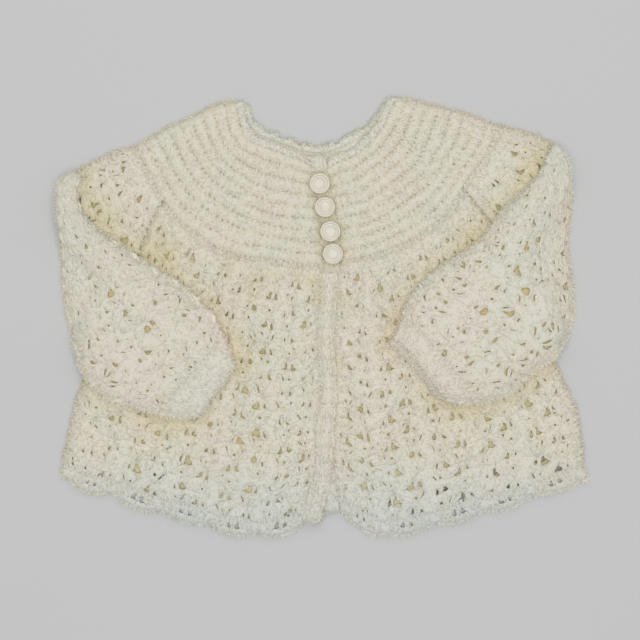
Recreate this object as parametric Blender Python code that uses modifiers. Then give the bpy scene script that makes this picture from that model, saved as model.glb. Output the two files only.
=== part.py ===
# Crocheted baby cardigan, laid flat on its back with the sleeves folded in over the fronts.
# Metres, +Z up. The origin is under the middle of the whole outline; +X is the viewer's right,
# +Y runs to the neck. The wearer's right side is therefore at -X. Tables and sizes are in mm.
import math

import bmesh
import bpy
import numpy as np

MM = 0.001

# Driving sizes
WALL = 2.4  # crocheted cloth
SLEEVE_WALL = 2.2
GAP = 0.3  # between layers that rest on each other
SEAM = 0.2  # each piece stops this far short of the seam line
REST = 0.8  # under a sleeve, over the crocheted relief of the front
RIM = 4.0  # rounded border of a free edge
RIM_DROP = 0.45  # share of the wall that a free edge loses
FRONT_LEVEL = WALL + GAP
BAND_LEVEL = FRONT_LEVEL + WALL + GAP
BAND_WIDE = 9.6
BAND_WALL = 2.2
BAND_CREST = (0.32, 0.68)  # shares of the band's width between which it is at its full height
RIBS = 9
RIB_RISE = 1.3
RIB_CREST = (0.3, 0.7)  # shares of a rib's width between which it is at its full height
COLUMN = 13.0  # half of one shell of the lace
ROW = 8.2  # height of one row of the lace
HOLE_WIDE = 4.6  # at its lower end
HOLE_TALL = 4.7
HOLE_TIP = 0.5  # share of that width left at its upper end
HOLE_ASIDE = 2.6  # its distance from the post of its shell, left and right of it in turn
BACK_ROWS = 2  # rows of the lace to one row of faces on the back
HEM_DEEP = 9.0
SCALLOP_DEEP = 3.6
SCALLOP_ROUND = 0.7  # under 1, the scallops are rounder than half waves
NECK_TRIM = 4.0
NECK_SCALLOP_DEEP = 1.0
YOKE_BACK_STEP = 16.0
CUFF_LONG = 20.0
CROWN = 3.2  # rise of the upper wall over the lower one, mid sleeve
CROWN_FROM = 0.25  # share of the sleeve's length over which it rises to that
MOUTH_FROM = 0.6  # share of the length past which it goes over to the cuff's mouth
OVERHANG = 16.0  # how far beyond the body a sleeve takes to come down to the table
BUTTON_STEPS = 14
BUTTON_CLEAR = 0.9
SLOT_WIDE = 3.2
SLOT_LONG = 4.4
SLOT_DEEP = 20.0
NECK_MIDDLE = np.array((-4.0, 136.0))
HEM_MIDDLE = np.array((-0.9, 229.0))

# Lines of the flat cardigan, as x and y of the points that a smooth line runs through.
# right is the wearer's right, at -X.
LINES = {
    "neck_right": [(-7.2, 95), (-14, 98), (-24, 101.5), (-33, 105.5), (-40, 109), (-45, 116),
                   (-48.3, 129.6)],
    "neck_left": [(2.4, 95), (9, 98.5), (15, 99.5), (22, 104), (28, 110.5), (33.5, 118), (36, 125),
                  (40, 132)],
    "shoulder_right": [(-48.3, 129.6), (-65, 127), (-80, 119), (-98, 111), (-113.5, 102)],
    "shoulder_left": [(40, 132), (55, 129.5), (70, 126), (88, 120.5), (104, 115)],
    "yoke_right": [(-0.4, 31), (-20, 32.4), (-37, 34.8), (-61, 40.2), (-80, 52.8), (-96.3, 70.2),
                   (-113.5, 102)],
    "yoke_left": [(9.7, 32.5), (34, 38.4), (61, 51), (72, 60), (85.5, 77.4), (97.5, 97.2), (104, 115)],
    "armhole_right": [(-96.3, 70.2), (-120, 24)],
    "armhole_left": [(85.5, 77.4), (112, 40)],
    "side_right": [(-120, 24), (-133, -5), (-142, -38), (-149, -56), (-153, -74)],
    "side_left": [(112, 40), (128, 2), (142, -38), (150, -56), (154.5, -74)],
    "hem_right": [(-10.5, -127), (-35, -132.4), (-53, -131), (-71, -126.5), (-101, -117.5), (-127, -109),
                  (-159, -97.5)],
    "hem_left": [(9.4, -118), (22, -126), (33, -132.6), (46, -131), (82, -122.5), (118, -112),
                 (160, -99.5)],
    "head_top_right": [(-113.5, 102), (-134, 94), (-149, 87), (-156, 80)],
    "head_top_left": [(104, 115), (124, 108.5), (138, 102), (144, 95)],
    "head_end_right": [(-156, 80), (-153, 62), (-145, 46), (-133, 34), (-120, 24)],
    "head_end_left": [(144, 95), (138, 78), (126, 60), (112, 40)],
    "overarm_right": [(-150, 87.5), (-157.5, 80), (-159.5, 68), (-158, 48), (-155, 16), (-153, -4),
                      (-149, -19), (-141, -36), (-130, -47), (-112, -54), (-94, -59.5), (-75, -59)],
    "overarm_left": [(139, 101.5), (145.5, 95), (147, 80), (147, 46), (149, 12), (147, -10), (141, -20),
                     (127, -31), (106, -48), (94, -51), (82, -51), (71, -48)],
    "underarm_right": [(-146, 84), (-147.5, 74), (-145, 62), (-136, 52), (-118.5, 39), (-97, 24.5), (-78, 13),
                       (-67, 1), (-60, -13), (-54, -29)],
    "underarm_left": [(135.5, 96), (133, 89), (123.5, 79), (106, 61), (93, 45), (82, 37), (70, 28), (59, 18),
                      (51, 5), (46, -7), (40, -16)],
    "band_middle": [(-2.4, 97), (-2.2, 79.8), (0.8, 65.6), (4, 51.2), (5.6, 37.6), (3.9, 28), (2.1, 10),
                    (2.7, -14), (2.1, -38), (2.1, -62), (1.5, -80), (-1.5, -97), (-3.9, -107), (-5.8, -122)],
    "under_middle": [(-2.4, 95), (-2.2, 79.8), (0.8, 65.6), (4, 51.2), (5.6, 37.6), (3.9, 28), (2.1, 10),
                     (2.7, -14), (2.1, -38), (2.1, -62), (2.6, -84), (3.9, -100), (4.4, -116)],
    "back_neck": [(-46, 128), (-41.5, 119), (-36, 113), (-28, 109), (-18, 105.5), (-4, 103.6), (8, 105.5),
                  (17, 109.5), (25, 113.5), (31, 119), (36, 128)],
}

# Soft folds of the fronts: a line from a to b, half width, height. A minus is a trough.
FOLDS = [
    # ax, ay, bx, by, half width, height
    (-50, 30, -57, 8, 9, 2.6),
    (-57, 8, -48, -24, 12, 2.0),
    (-34, 4, -24, -22, 14, 1.8),
    (-12, 28, -9, 4, 5, 1.4),
    (30, 6, 24, -60, 13, 1.5),
    (-70, -72, -92, -100, 13, 1.8),
    (-22, -60, -30, -104, 15, 1.4),
    (62, -66, 70, -104, 14, 1.8),
    (112, -62, 122, -92, 13, 1.8),
    (74, 72, 88, 92, 12, 1.2),
    (-86, 84, -62, 98, 13, 1.2),
]

# The mouth of each cuff: where its upper half ends along the sleeve, and how far it stands open.
MOUTHS = {
    "right": {"top_end": 1.0, "rise": 1.4},
    "left": {"top_end": 0.972, "rise": 3.4},
}

# The four buttons down the front band: place, tilt about X and about Y.
BUTTONS = [
    # x, y, tilt x, tilt y
    (-2.2, 79.8, 4, -5),
    (0.8, 65.6, -5, 4),
    (4.0, 51.2, 5, 5),
    (5.6, 37.6, -4, -3),
]

# Half section of a button, from the middle of its face round the rim to the end of its shank.
BUTTON_SECTION = [
    # radius, height over its back
    (0.0, 1.2),
    (2.0, 1.3),
    (2.6, 1.8),
    (3.1, 1.4),
    (4.1, 1.5),
    (4.7, 2.4),
    (5.4, 2.5),
    (6.0, 1.7),
    (6.0, 0.7),
    (5.3, 0.0),
    (1.2, 0.0),
    (1.2, -2.6),
    (0.0, -2.6),
]

YARN = {"lace": (0.84, 0.81, 0.70), "rib": (0.86, 0.82, 0.71), "edge": (0.85, 0.83, 0.74)}
PLASTIC = (0.88, 0.85, 0.76)


def clear_scene():
    for thing in list(bpy.data.objects):
        bpy.data.objects.remove(thing, do_unlink=True)


def smooth_step(x):
    x = min(1.0, max(0.0, x))
    return x * x * (3 - 2 * x)


class Line:
    """A smooth line through listed points, read by the fraction of its length."""

    def __init__(self, points):
        knots = np.array(points, float)
        chord = np.linalg.norm(np.diff(knots, axis=0), axis=1)
        at = np.concatenate([[0], np.cumsum(chord)])
        slope = np.gradient(knots, at, axis=0)
        dense = []
        for k, length in enumerate(chord):
            for s in np.linspace(0, 1, 9)[: None if k == len(chord) - 1 else -1]:
                rise = 3 * s**2 - 2 * s**3
                leave, arrive = s**3 - 2 * s**2 + s, s**3 - s**2
                bend = length * (leave * slope[k] + arrive * slope[k + 1])
                dense.append((1 - rise) * knots[k] + rise * knots[k + 1] + bend)
        self.points = np.array(dense)
        self.along = np.concatenate([[0], np.cumsum(np.linalg.norm(np.diff(self.points, axis=0), axis=1))])
        self.length = self.along[-1]

    def __call__(self, t):
        s = t * self.length
        return np.array([np.interp(s, self.along, self.points[:, k]) for k in range(2)])

    def nearest(self, point):
        """Fraction of the length nearest a point."""
        k = int(np.argmin(np.linalg.norm(self.points - point, axis=1)))
        return self.along[k] / self.length


def stretch(line, start, end):
    """The part of a line between two fractions of it, as a function of 0 to 1."""
    return lambda t: line(start + (end - start) * t)


def chain(*pieces):
    """Points end to end as one line; a point that repeats the last one is left out."""
    points = np.concatenate(pieces)
    kept = np.concatenate([[True], np.linalg.norm(np.diff(points, axis=0), axis=1) > 1e-6])
    points = points[kept]
    joined = Line.__new__(Line)
    joined.points = points
    joined.along = np.concatenate([[0], np.cumsum(np.linalg.norm(np.diff(points, axis=0), axis=1))])
    joined.length = joined.along[-1]
    return joined


def moved(line, centre, distance):
    """A line moved away from a centre by a distance."""
    away = line.points - centre
    points = line.points + distance * away / np.linalg.norm(away, axis=1)[:, None]
    return chain(points)


def from_point(point, line, skipped):
    """A line that starts at a point of its own and leaves out the first stretch."""
    return chain(np.array([point]), line.points[line.along > skipped])


def moved_across(line, across):
    """A line moved in X."""
    return chain(line.points + np.array((across, 0.0)))


def panel(near, far, start, end):
    """A place on a four-sided panel: near and far run with u, start and end run with v."""

    def place(u, v):
        long_way = (1 - v) * near(u) + v * far(u)
        cross_way = (1 - u) * start(v) + u * end(v)
        corners = (1 - u) * (1 - v) * near(0) + u * (1 - v) * near(1) + (1 - u) * v * far(0) + u * v * far(1)
        return long_way + cross_way - corners

    def size(fixed_v):
        spots = [place(u, 0.5) if fixed_v else place(0.5, u) for u in np.linspace(0, 1, 21)]
        return float(np.linalg.norm(np.diff(spots, axis=0), axis=1).sum())

    place.wide = size(True)
    place.tall = size(False)
    return place


def part_of(whole, v_start, v_end):
    """A stretch of a panel along v."""

    def place(u, v):
        return whole(u, v_start + (v_end - v_start) * v)

    place.wide = whole.wide
    place.tall = whole.tall * (v_end - v_start)
    return place


def folds(x, y):
    """Height that the soft folds give the front layer."""
    total = 0.0
    for ax, ay, bx, by, half, height in FOLDS:
        a, b, p = np.array((ax, ay)), np.array((bx, by)), np.array((x, y))
        t = np.clip((p - a) @ (b - a) / ((b - a) @ (b - a)), 0, 1)
        total += height * math.exp(-((np.linalg.norm(p - a - t * (b - a)) / half) ** 2))
    return total


def body_side(y, side):
    """X of the body's hidden side at y, under the sleeve."""
    points = np.concatenate([lines["head_end_" + side].points, lines["side_" + side].points])
    order = np.argsort(points[:, 1])
    return float(np.interp(y, points[order, 1], points[order, 0]))


def under_sleeve(x, y, side):
    """Height of what a sleeve lies on: the front, then the table beyond it."""
    out = body_side(y, side) - x if side == "right" else x - body_side(y, side)
    drop = smooth_step((out - RIM) / OVERHANG)
    return (FRONT_LEVEL + WALL + REST + folds(x, y)) * (1 - drop)


def shares(length, pitch, rim_start=0.0, rim_end=0.0):
    """Fractions of a length in even steps near the pitch, with a narrow step at each rim."""
    inner = length - rim_start - rim_end
    count = max(1, round(inner / pitch))
    marks = [rim_start + inner * k / count for k in range(count + 1)]
    marks = ([0.0] if rim_start else []) + marks + ([length] if rim_end else [])
    return [m / length for m in marks]


def piece(name, place, u_marks, v_marks, under, over, holes=None):
    """A cloth wall over a grid of u and v marks, with holes in the grid's cells that holes() picks."""
    bm = bmesh.new()
    columns, rows = len(u_marks) - 1, len(v_marks) - 1
    bmesh.ops.create_grid(bm, x_segments=columns, y_segments=rows, size=0.5)
    for v in bm.verts:
        v.co.x = u_marks[round((v.co.x + 0.5) * columns)] * place.wide
        v.co.y = v_marks[round((v.co.y + 0.5) * rows)] * place.tall
    if holes:
        picked = [f for f in bm.faces if holes(*cell_of(f, u_marks, v_marks, place), place)]
        bmesh.ops.inset_individual(bm, faces=picked, thickness=1.0)
        for f in picked:
            middle = f.calc_center_median()
            row = cell_of(f, u_marks, v_marks, place)[1]
            aside = HOLE_ASIDE * (-1) ** row
            for v in f.verts:
                right, lower = v.co.x > middle.x, v.co.y > middle.y
                half = HOLE_WIDE / 2 * (1 if lower else HOLE_TIP)
                v.co.x = middle.x + aside + (half if right else -half)
                v.co.y = middle.y + (HOLE_TALL / 2 if lower else -HOLE_TALL / 2)
        bmesh.ops.delete(bm, geom=picked, context="FACES")
    raised = bmesh.ops.extrude_face_region(bm, geom=bm.faces[:])
    outer = {v for v in raised["geom"] if isinstance(v, bmesh.types.BMVert)}
    inset_u, inset_v = SEAM / place.wide, SEAM / place.tall
    for v in bm.verts:
        s, t = v.co.x / place.wide, v.co.y / place.tall
        x, y = place(inset_u + s * (1 - 2 * inset_u), inset_v + t * (1 - 2 * inset_v))
        height = over(x, y, s, t) if v in outer else under(x, y, s, t)
        v.co = (x * MM, y * MM, height * MM)
    bmesh.ops.recalc_face_normals(bm, faces=bm.faces[:])
    mesh = bpy.data.meshes.new(name)
    bm.to_mesh(mesh)
    bm.free()
    thing = bpy.data.objects.new(name, mesh)
    cardigan.objects.link(thing)
    return thing


def cell_of(face, u_marks, v_marks, place):
    """Column and row of a grid face."""
    middle = face.calc_center_median()
    column = int(np.searchsorted(u_marks, middle.x / place.wide)) - 1
    row = int(np.searchsorted(v_marks, middle.y / place.tall)) - 1
    return column, row


def finish(thing, name, colour, roughness=0.9):
    """The piece's own material."""
    material = bpy.data.materials.new(name)
    material.use_nodes = True
    shader = material.node_tree.nodes["Principled BSDF"]
    shader.inputs["Base Color"].default_value = (*colour, 1)
    shader.inputs["Roughness"].default_value = roughness
    shader.inputs["Metallic"].default_value = 0
    material.diffuse_color = (*colour, 1)
    thing.data.materials.append(material)


def edge_share(s, t, place, free):
    """Share of the wall left near the panel's free edges; free names them as near, far, start and end."""
    distance = {
        "near": t * place.tall,
        "far": (1 - t) * place.tall,
        "start": s * place.wide,
        "end": (1 - s) * place.wide,
    }
    closest = min([distance[e] for e in free], default=RIM)
    return 1 - RIM_DROP * (1 - smooth_step(closest / RIM))


def at_height(line, y):
    """Fraction of a downward line's length where it reaches y."""
    return float(np.interp(-y, -line.points[:, 1], line.along)) / line.length


def chorded(line, marks):
    """The straight chords of a line between marks."""
    knots = np.array([line(m) for m in marks])
    return lambda t: np.array([np.interp(t, marks, knots[:, k]) for k in range(2)])


def halved(marks):
    """The marks with one more between each two."""
    return sorted(marks + [(a + b) / 2 for a, b in zip(marks, marks[1:])])


def front_under(x, y, s, t):
    return FRONT_LEVEL + folds(x, y)


def floor_under(x, y, s, t):
    return 0.0


def cloth_over(under, place, free=(), wall=WALL, relief=None):
    """Upper height of a cloth wall: its under side, its wall and its relief, thinner at free edges."""

    def over(x, y, s, t):
        rise = relief(t) if relief else 0.0
        return under(x, y, s, t) + (wall + rise) * edge_share(s, t, place, free)

    return over


def rib_marks():
    """Three marks across each rib: its valley and both shoulders of its crest."""
    return [(rib + share) / RIBS for rib in range(RIBS) for share in (0, *RIB_CREST)] + [1.0]


def rib_relief(t):
    """Height of the ribs at a fraction of the yoke's depth."""
    across = t * RIBS % 1
    return RIB_RISE if RIB_CREST[0] / 2 < across < (1 + RIB_CREST[1]) / 2 else 0.0


def inside(x, y, outline):
    """Whether a point is in a closed outline."""
    turned = False
    for (ax, ay), (bx, by) in zip(outline, np.roll(outline, 1, axis=0)):
        if (ay > y) != (by > y) and x < (bx - ax) * (y - ay) / (by - ay) + ax:
            turned = not turned
    return turned


def every_other(column, row):
    """Cells of the lace that hold a gap: alternate shells, set off by half in each row."""
    return (column + row) % 2 == 0


def front_lines(side):
    """The inner edge of a front, and the fractions of it at the neck and at the yoke's lower edge."""
    across = -BAND_WIDE / 2 if side == "right" else BAND_WIDE / 2
    middle = lines["band_middle" if side == "right" else "under_middle"]
    edge = moved_across(middle, across)
    return edge, at_height(edge, LINES["neck_" + side][0][1]), at_height(edge, LINES["yoke_" + side][0][1])


def layout(side):
    """The panels of one side of the front, with the marks that neighbours share."""
    edge, at_neck, at_yoke = front_lines(side)
    at_hem = at_height(edge, LINES["hem_" + side][0][1] + HEM_DEEP)
    yoke, neck, shoulder = lines["yoke_" + side], lines["neck_" + side], lines["shoulder_" + side]
    armhole = yoke.nearest(LINES["armhole_" + side][0])
    base = moved(neck, NECK_MIDDLE, NECK_TRIM)
    hem_base = moved(lines["hem_" + side], HEM_MIDDLE, -HEM_DEEP)
    side_line = chain(lines["armhole_" + side].points, lines["side_" + side].points, hem_base.points[-1:])
    edge_trim = NECK_TRIM / edge.length
    plan = {
        "yoke": panel(
            base,
            yoke,
            stretch(edge, at_neck + edge_trim, at_yoke),
            from_point(base(1), shoulder, NECK_TRIM + 1),
        ),
        "front": panel(stretch(yoke, 0, armhole), hem_base, stretch(edge, at_yoke, at_hem), side_line),
        "head": panel(
            stretch(yoke, armhole, 1),
            stretch(lines["head_end_" + side], 1, 0),
            lines["armhole_" + side],
            lines["head_top_" + side],
        ),
    }
    front_marks = shares(plan["front"].wide, COLUMN, 0, RIM)
    head_marks = shares(plan["head"].wide, COLUMN, 0, RIM)
    yoke_marks = [armhole * m for m in front_marks] + [armhole + (1 - armhole) * m for m in head_marks[1:]]
    hem_line = lines["hem_" + side]
    plan["hem"] = scalloped(hem_base, hem_line, front_marks)
    plan["trim"] = scalloped(base, neck, yoke_marks, NECK_SCALLOP_DEEP)
    plan["marks"] = {"front": front_marks, "head": head_marks, "yoke": yoke_marks}
    return plan


def scalloped(base, tips, marks, deep=SCALLOP_DEEP):
    """A strip from a base line out to a scalloped one; a scallop is two columns wide."""
    chords = chorded(base, marks)

    def outer(u):
        column = np.interp(u, marks, np.arange(len(marks)))
        notch = 1 - abs(math.sin(math.pi * column / 2)) ** SCALLOP_ROUND
        out = tips(u) - chords(u)
        return tips(u) - out / np.linalg.norm(out) * deep * notch

    def ends(at):
        return lambda v: (1 - v) * chords(at) + v * outer(at)

    return panel(chords, outer, ends(0), ends(1))


def make_front(side):
    """Yoke, lace front, sleeve head, hem edging and neck edging of one side of the front."""
    plan = layouts[side]
    marks = plan["marks"]
    rows = shares(plan["front"].tall, ROW)
    head_rows = shares(plan["head"].tall, ROW)
    sleeve_edge = np.concatenate([lines["overarm_" + side].points, lines["underarm_" + side].points[::-1]])

    def front_holes(column, row, place):
        u = (marks["front"][column] + marks["front"][column + 1]) / 2
        v = (rows[row] + rows[row + 1]) / 2
        shown = not inside(*place(u, v), sleeve_edge)
        inner = row > 0 and column < len(marks["front"]) - 2
        return shown and inner and every_other(column, row)

    def head_holes(column, row, place):
        inner = row > 0 and column < len(marks["head"]) - 2
        return inner and every_other(column, row)

    yoke = piece(
        "yoke_" + side,
        plan["yoke"],
        marks["yoke"],
        rib_marks(),
        front_under,
        cloth_over(front_under, plan["yoke"], ("end",), relief=rib_relief),
    )
    finish(yoke, "rib_" + side, YARN["rib"])
    front = piece(
        "front_" + side,
        plan["front"],
        marks["front"],
        rows,
        front_under,
        cloth_over(front_under, plan["front"], ("end",)),
        front_holes,
    )
    finish(front, "lace_front_" + side, YARN["lace"])
    head = piece(
        "sleeve_head_front_" + side,
        plan["head"],
        marks["head"],
        head_rows,
        front_under,
        cloth_over(front_under, plan["head"], ("end", "far")),
        head_holes,
    )
    finish(head, "lace_head_" + side, YARN["lace"])
    hem = piece(
        "hem_front_" + side,
        plan["hem"],
        halved(marks["front"]),
        [0, 1],
        front_under,
        cloth_over(front_under, plan["hem"], ("far", "end")),
    )
    finish(hem, "edge_hem_" + side, YARN["edge"])
    trim = piece(
        "neck_edging_" + side,
        plan["trim"],
        halved(marks["yoke"]),
        [0, 1],
        front_under,
        cloth_over(front_under, plan["trim"], ("far",)),
    )
    finish(trim, "edge_neck_" + side, YARN["edge"])


def make_back():
    """The back: yoke, lace, both sleeve heads, hem edging and neck edging, flat on the table."""
    right, left = layouts["right"], layouts["left"]
    yoke_line = chain(lines["yoke_right"].points[::-1], lines["yoke_left"].points)
    hems = {s: moved(lines["hem_" + s], HEM_MIDDLE, -HEM_DEEP).points for s in ("right", "left")}
    hem_base = chain(hems["right"][::-1], hems["left"])
    hem_tips = chain(lines["hem_right"].points[::-1], lines["hem_left"].points)
    neck_base = moved(lines["back_neck"], NECK_MIDDLE, NECK_TRIM)
    sides = {
        s: chain(lines["armhole_" + s].points, lines["side_" + s].points, hems[s][-1:])
        for s in ("right", "left")
    }
    from_right = yoke_line.nearest(LINES["armhole_right"][0])
    from_left = yoke_line.nearest(LINES["armhole_left"][0])
    lace = panel(stretch(yoke_line, from_right, from_left), hem_base, sides["right"], sides["left"])
    marks = shares(lace.wide, COLUMN, RIM, RIM)
    rows = shares(lace.tall, ROW * BACK_ROWS)
    heads = {"right": right["marks"]["head"], "left": left["marks"]["head"]}
    yoke_marks = (
        [from_right * (1 - m) for m in reversed(heads["right"])]
        + [from_right + (from_left - from_right) * m for m in marks[1:]]
        + [from_left + (1 - from_left) * m for m in heads["left"][1:]]
    )
    yoke_ends = {
        s: from_point(neck_base(at), lines["shoulder_" + s], NECK_TRIM * 2)
        for s, at in (("right", 0), ("left", 1))
    }
    yoke_panel = panel(neck_base, yoke_line, yoke_ends["right"], yoke_ends["left"])
    hem_panel = scalloped(hem_base, hem_tips, marks)
    trim_panel = scalloped(neck_base, lines["back_neck"], yoke_marks, NECK_SCALLOP_DEEP)

    def back_holes(column, row, place):
        inner = row > 0 and 0 < column < len(marks) - 2
        return inner and every_other(column, row)

    yoke_rows = shares(yoke_panel.tall, YOKE_BACK_STEP)
    for name, place, u_marks, v_marks, free, holes, colour in (
        ("yoke_back", yoke_panel, yoke_marks, yoke_rows, ("start", "end"), None, "rib"),
        ("back", lace, marks, rows, ("start", "end"), back_holes, "lace"),
        ("hem_back", hem_panel, halved(marks), [0, 1], ("far", "start", "end"), None, "edge"),
        ("neck_edging_back", trim_panel, yoke_marks, [0, 1], ("far",), None, "edge"),
    ):
        made = piece(name, place, u_marks, v_marks, floor_under, cloth_over(floor_under, place, free), holes)
        finish(made, "back_" + name, YARN[colour])
    for side, plan in layouts.items():
        head = piece(
            "sleeve_head_back_" + side,
            plan["head"],
            plan["marks"]["head"],
            shares(plan["head"].tall, ROW * BACK_ROWS),
            floor_under,
            cloth_over(floor_under, plan["head"], ("end", "far")),
        )
        finish(head, "lace_head_back_" + side, YARN["lace"])


def make_sleeve(side):
    """Upper and under half of a sleeve and of its cuff."""
    overarm, underarm = lines["overarm_" + side], lines["underarm_" + side]

    def across(at):
        return lambda u: (1 - u) * overarm(at) + u * underarm(at)

    whole = panel(across(0), across(1), overarm, underarm)
    cuff_from = 1 - CUFF_LONG / whole.tall
    marks = shares(whole.wide, COLUMN, RIM, RIM)
    rows = shares(whole.tall - CUFF_LONG, ROW)
    rise, top_end = MOUTHS[side]["rise"], MOUTHS[side]["top_end"]

    def crown(s, t):
        belly = 1 - (2 * s - 1) ** 4
        along = smooth_step(t / CROWN_FROM)
        mouth = smooth_step((t - MOUTH_FROM) / (1 - MOUTH_FROM))
        return belly * along * (CROWN + (rise - CROWN) * mouth)

    def under_half(x, y, s, t):
        return under_sleeve(x, y, side)

    def upper_half(start, end):
        def under(x, y, s, t):
            return under_sleeve(x, y, side) + SLEEVE_WALL + GAP + crown(s, start + (end - start) * t)

        return under

    def sleeve_holes(column, row, place):
        v = (rows[row] + rows[row + 1]) / 2
        cell = np.linalg.norm(place(marks[column], v) - place(marks[column + 1], v))
        inner = 0 < column < len(marks) - 2
        return inner and cell > COLUMN / 2 and every_other(column, row)

    top, cuff_top = upper_half(0, cuff_from), upper_half(cuff_from, top_end)
    sides = ("start", "end")
    for name, start, end, v_marks, under, free, holes, colour in (
        ("sleeve_under_", 0, cuff_from, rows, under_half, sides, None, "lace"),
        ("sleeve_top_", 0, cuff_from, rows, top, (*sides, "near"), sleeve_holes, "lace"),
        ("cuff_under_", cuff_from, 1, [0, 0.5, 1], under_half, (*sides, "far"), None, "edge"),
        ("cuff_top_", cuff_from, top_end, [0, 0.3, 0.7, 1], cuff_top, (*sides, "far"), None, "edge"),
    ):
        place = part_of(whole, start, end)
        over = cloth_over(under, place, free, SLEEVE_WALL)
        made = piece(name + side, place, marks, v_marks, under, over, holes)
        finish(made, colour + "_" + name + side, YARN[colour])


def make_bands():
    """The button band under the buttonhole band, which has a slot for each shank."""
    for name, middle, wall, level in (
        ("button_band", "under_middle", WALL, FRONT_LEVEL),
        ("buttonhole_band", "band_middle", BAND_WALL, BAND_LEVEL),
    ):
        line = lines[middle]
        edges = [moved_across(line, across * BAND_WIDE / 2) for across in (-1, 1)]
        place = panel(
            lambda u, e=edges: (1 - u) * e[0](0) + u * e[1](0),
            lambda u, e=edges: (1 - u) * e[0](1) + u * e[1](1),
            edges[0],
            edges[1],
        )
        slots = [at_height(line, row[1]) for row in BUTTONS] if name == "buttonhole_band" else []
        half = SLOT_LONG / 2 / line.length
        cuts = sorted([s - half for s in slots] + [s + half for s in slots])
        plain = [m for m in shares(line.length, ROW) if all(abs(m - c) > half for c in cuts)]
        marks = sorted(plain + cuts)

        def under(x, y, s, t, level=level):
            return level + folds(x, y)

        over = cloth_over(under, place, ("near", "far", "start", "end") if slots else ("near", "far"), wall)
        band = piece(name, place, [0, *BAND_CREST, 1], marks, under, over)
        if slots:
            open_slots(band, line, slots)
        finish(band, "edge_" + name, YARN["edge"])


def open_slots(band, line, slots):
    """Cuts the buttonholes: a slot through the band at each button."""
    for number, at in enumerate(slots, 1):
        x, y = line(at)
        bpy.ops.mesh.primitive_cube_add(size=1, location=(x * MM, y * MM, BAND_LEVEL * MM))
        cutter = bpy.context.object
        cutter.name = "slot_%d" % number
        cutter.scale = (SLOT_WIDE * MM, SLOT_LONG * MM, SLOT_DEEP * MM)
        cutter.hide_render = True
        cutter.display_type = "WIRE"
        for home in list(cutter.users_collection):
            home.objects.unlink(cutter)
        cutters.objects.link(cutter)
        cut = band.modifiers.new("buttonhole", "BOOLEAN")
        cut.operation = "DIFFERENCE"
        cut.solver = "EXACT"
        cut.object = cutter


def make_buttons():
    """Turned buttons with a rim, a ring in the dish and a shank that goes down through its slot."""
    for number, (x, y, tilt_x, tilt_y) in enumerate(BUTTONS, 1):
        name = "button_%d" % number
        mesh = bpy.data.meshes.new(name)
        points = [(radius * MM, 0, height * MM) for radius, height in BUTTON_SECTION]
        mesh.from_pydata(points, [(k, k + 1) for k in range(len(points) - 1)], [])
        button = bpy.data.objects.new(name, mesh)
        cardigan.objects.link(button)
        button.location = (x * MM, y * MM, (BAND_LEVEL + BAND_WALL + BUTTON_CLEAR + folds(x, y)) * MM)
        button.rotation_euler = (math.radians(tilt_x), math.radians(tilt_y), 0)
        turn = button.modifiers.new("turn", "SCREW")
        turn.axis = "Z"
        turn.angle = 2 * math.pi
        turn.steps = turn.render_steps = BUTTON_STEPS
        turn.use_merge_vertices = True
        turn.merge_threshold = 0.00001
        finish(button, "plastic_%d" % number, PLASTIC, 0.35)


clear_scene()
cardigan = bpy.data.collections.new("baby_cardigan")
cutters = bpy.data.collections.new("cutters")
for group in (cardigan, cutters):
    bpy.context.scene.collection.children.link(group)
lines = {name: Line(points) for name, points in LINES.items()}
layouts = {side: layout(side) for side in ("right", "left")}
make_back()
for side in ("right", "left"):
    make_front(side)
    make_sleeve(side)
make_bands()
make_buttons()
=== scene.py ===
# Crocheted baby cardigan laid flat: its yarn, buttons and finishes, with a floor, soft light and a camera.
import math

import bpy
import numpy as np
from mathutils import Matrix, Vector
from mathutils.geometry import delaunay_2d_cdt


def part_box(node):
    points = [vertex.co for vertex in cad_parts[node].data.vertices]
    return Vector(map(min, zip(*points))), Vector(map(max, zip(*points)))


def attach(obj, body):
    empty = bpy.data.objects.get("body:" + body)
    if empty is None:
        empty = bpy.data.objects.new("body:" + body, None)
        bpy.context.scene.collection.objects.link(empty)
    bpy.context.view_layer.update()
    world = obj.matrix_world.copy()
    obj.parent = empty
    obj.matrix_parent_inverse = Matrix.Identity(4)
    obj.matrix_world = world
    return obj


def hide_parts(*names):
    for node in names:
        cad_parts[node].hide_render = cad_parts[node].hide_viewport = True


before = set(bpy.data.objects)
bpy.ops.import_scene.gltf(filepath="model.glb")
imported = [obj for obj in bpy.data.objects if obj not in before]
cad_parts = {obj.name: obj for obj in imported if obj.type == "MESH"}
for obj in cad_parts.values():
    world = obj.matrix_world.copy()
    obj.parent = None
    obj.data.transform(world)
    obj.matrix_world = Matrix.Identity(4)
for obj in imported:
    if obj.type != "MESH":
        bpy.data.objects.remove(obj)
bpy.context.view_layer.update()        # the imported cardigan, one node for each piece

bpy.ops.object.select_all(action="DESELECT")
dice = np.random.default_rng(7)
mm = 0.001  # the tables below are in millimetres

# Camera, in metres
cameraView = {
    "distance": 1.1,        # over the cloth
    "frameWide": 0.384,     # of cloth across the picture
    "aim": (-0.0021, -0.0018),
    "cloth": 0.006,         # height of the cloth that is framed
    "sensor": 36,           # mm
}


def makeCamera():
    view = cameraView
    bpy.ops.object.camera_add(location=(*view["aim"], view["cloth"] + view["distance"]), rotation=(0, 0, 0))
    camera = bpy.context.object
    camera.data.sensor_width = view["sensor"]
    camera.data.lens = view["sensor"] * view["distance"] / view["frameWide"]
    camera.data.dof.use_dof = False
    camera.data.clip_start = 0.01
    bpy.context.scene.camera = camera


makeCamera()
print("camera placed")

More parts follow.
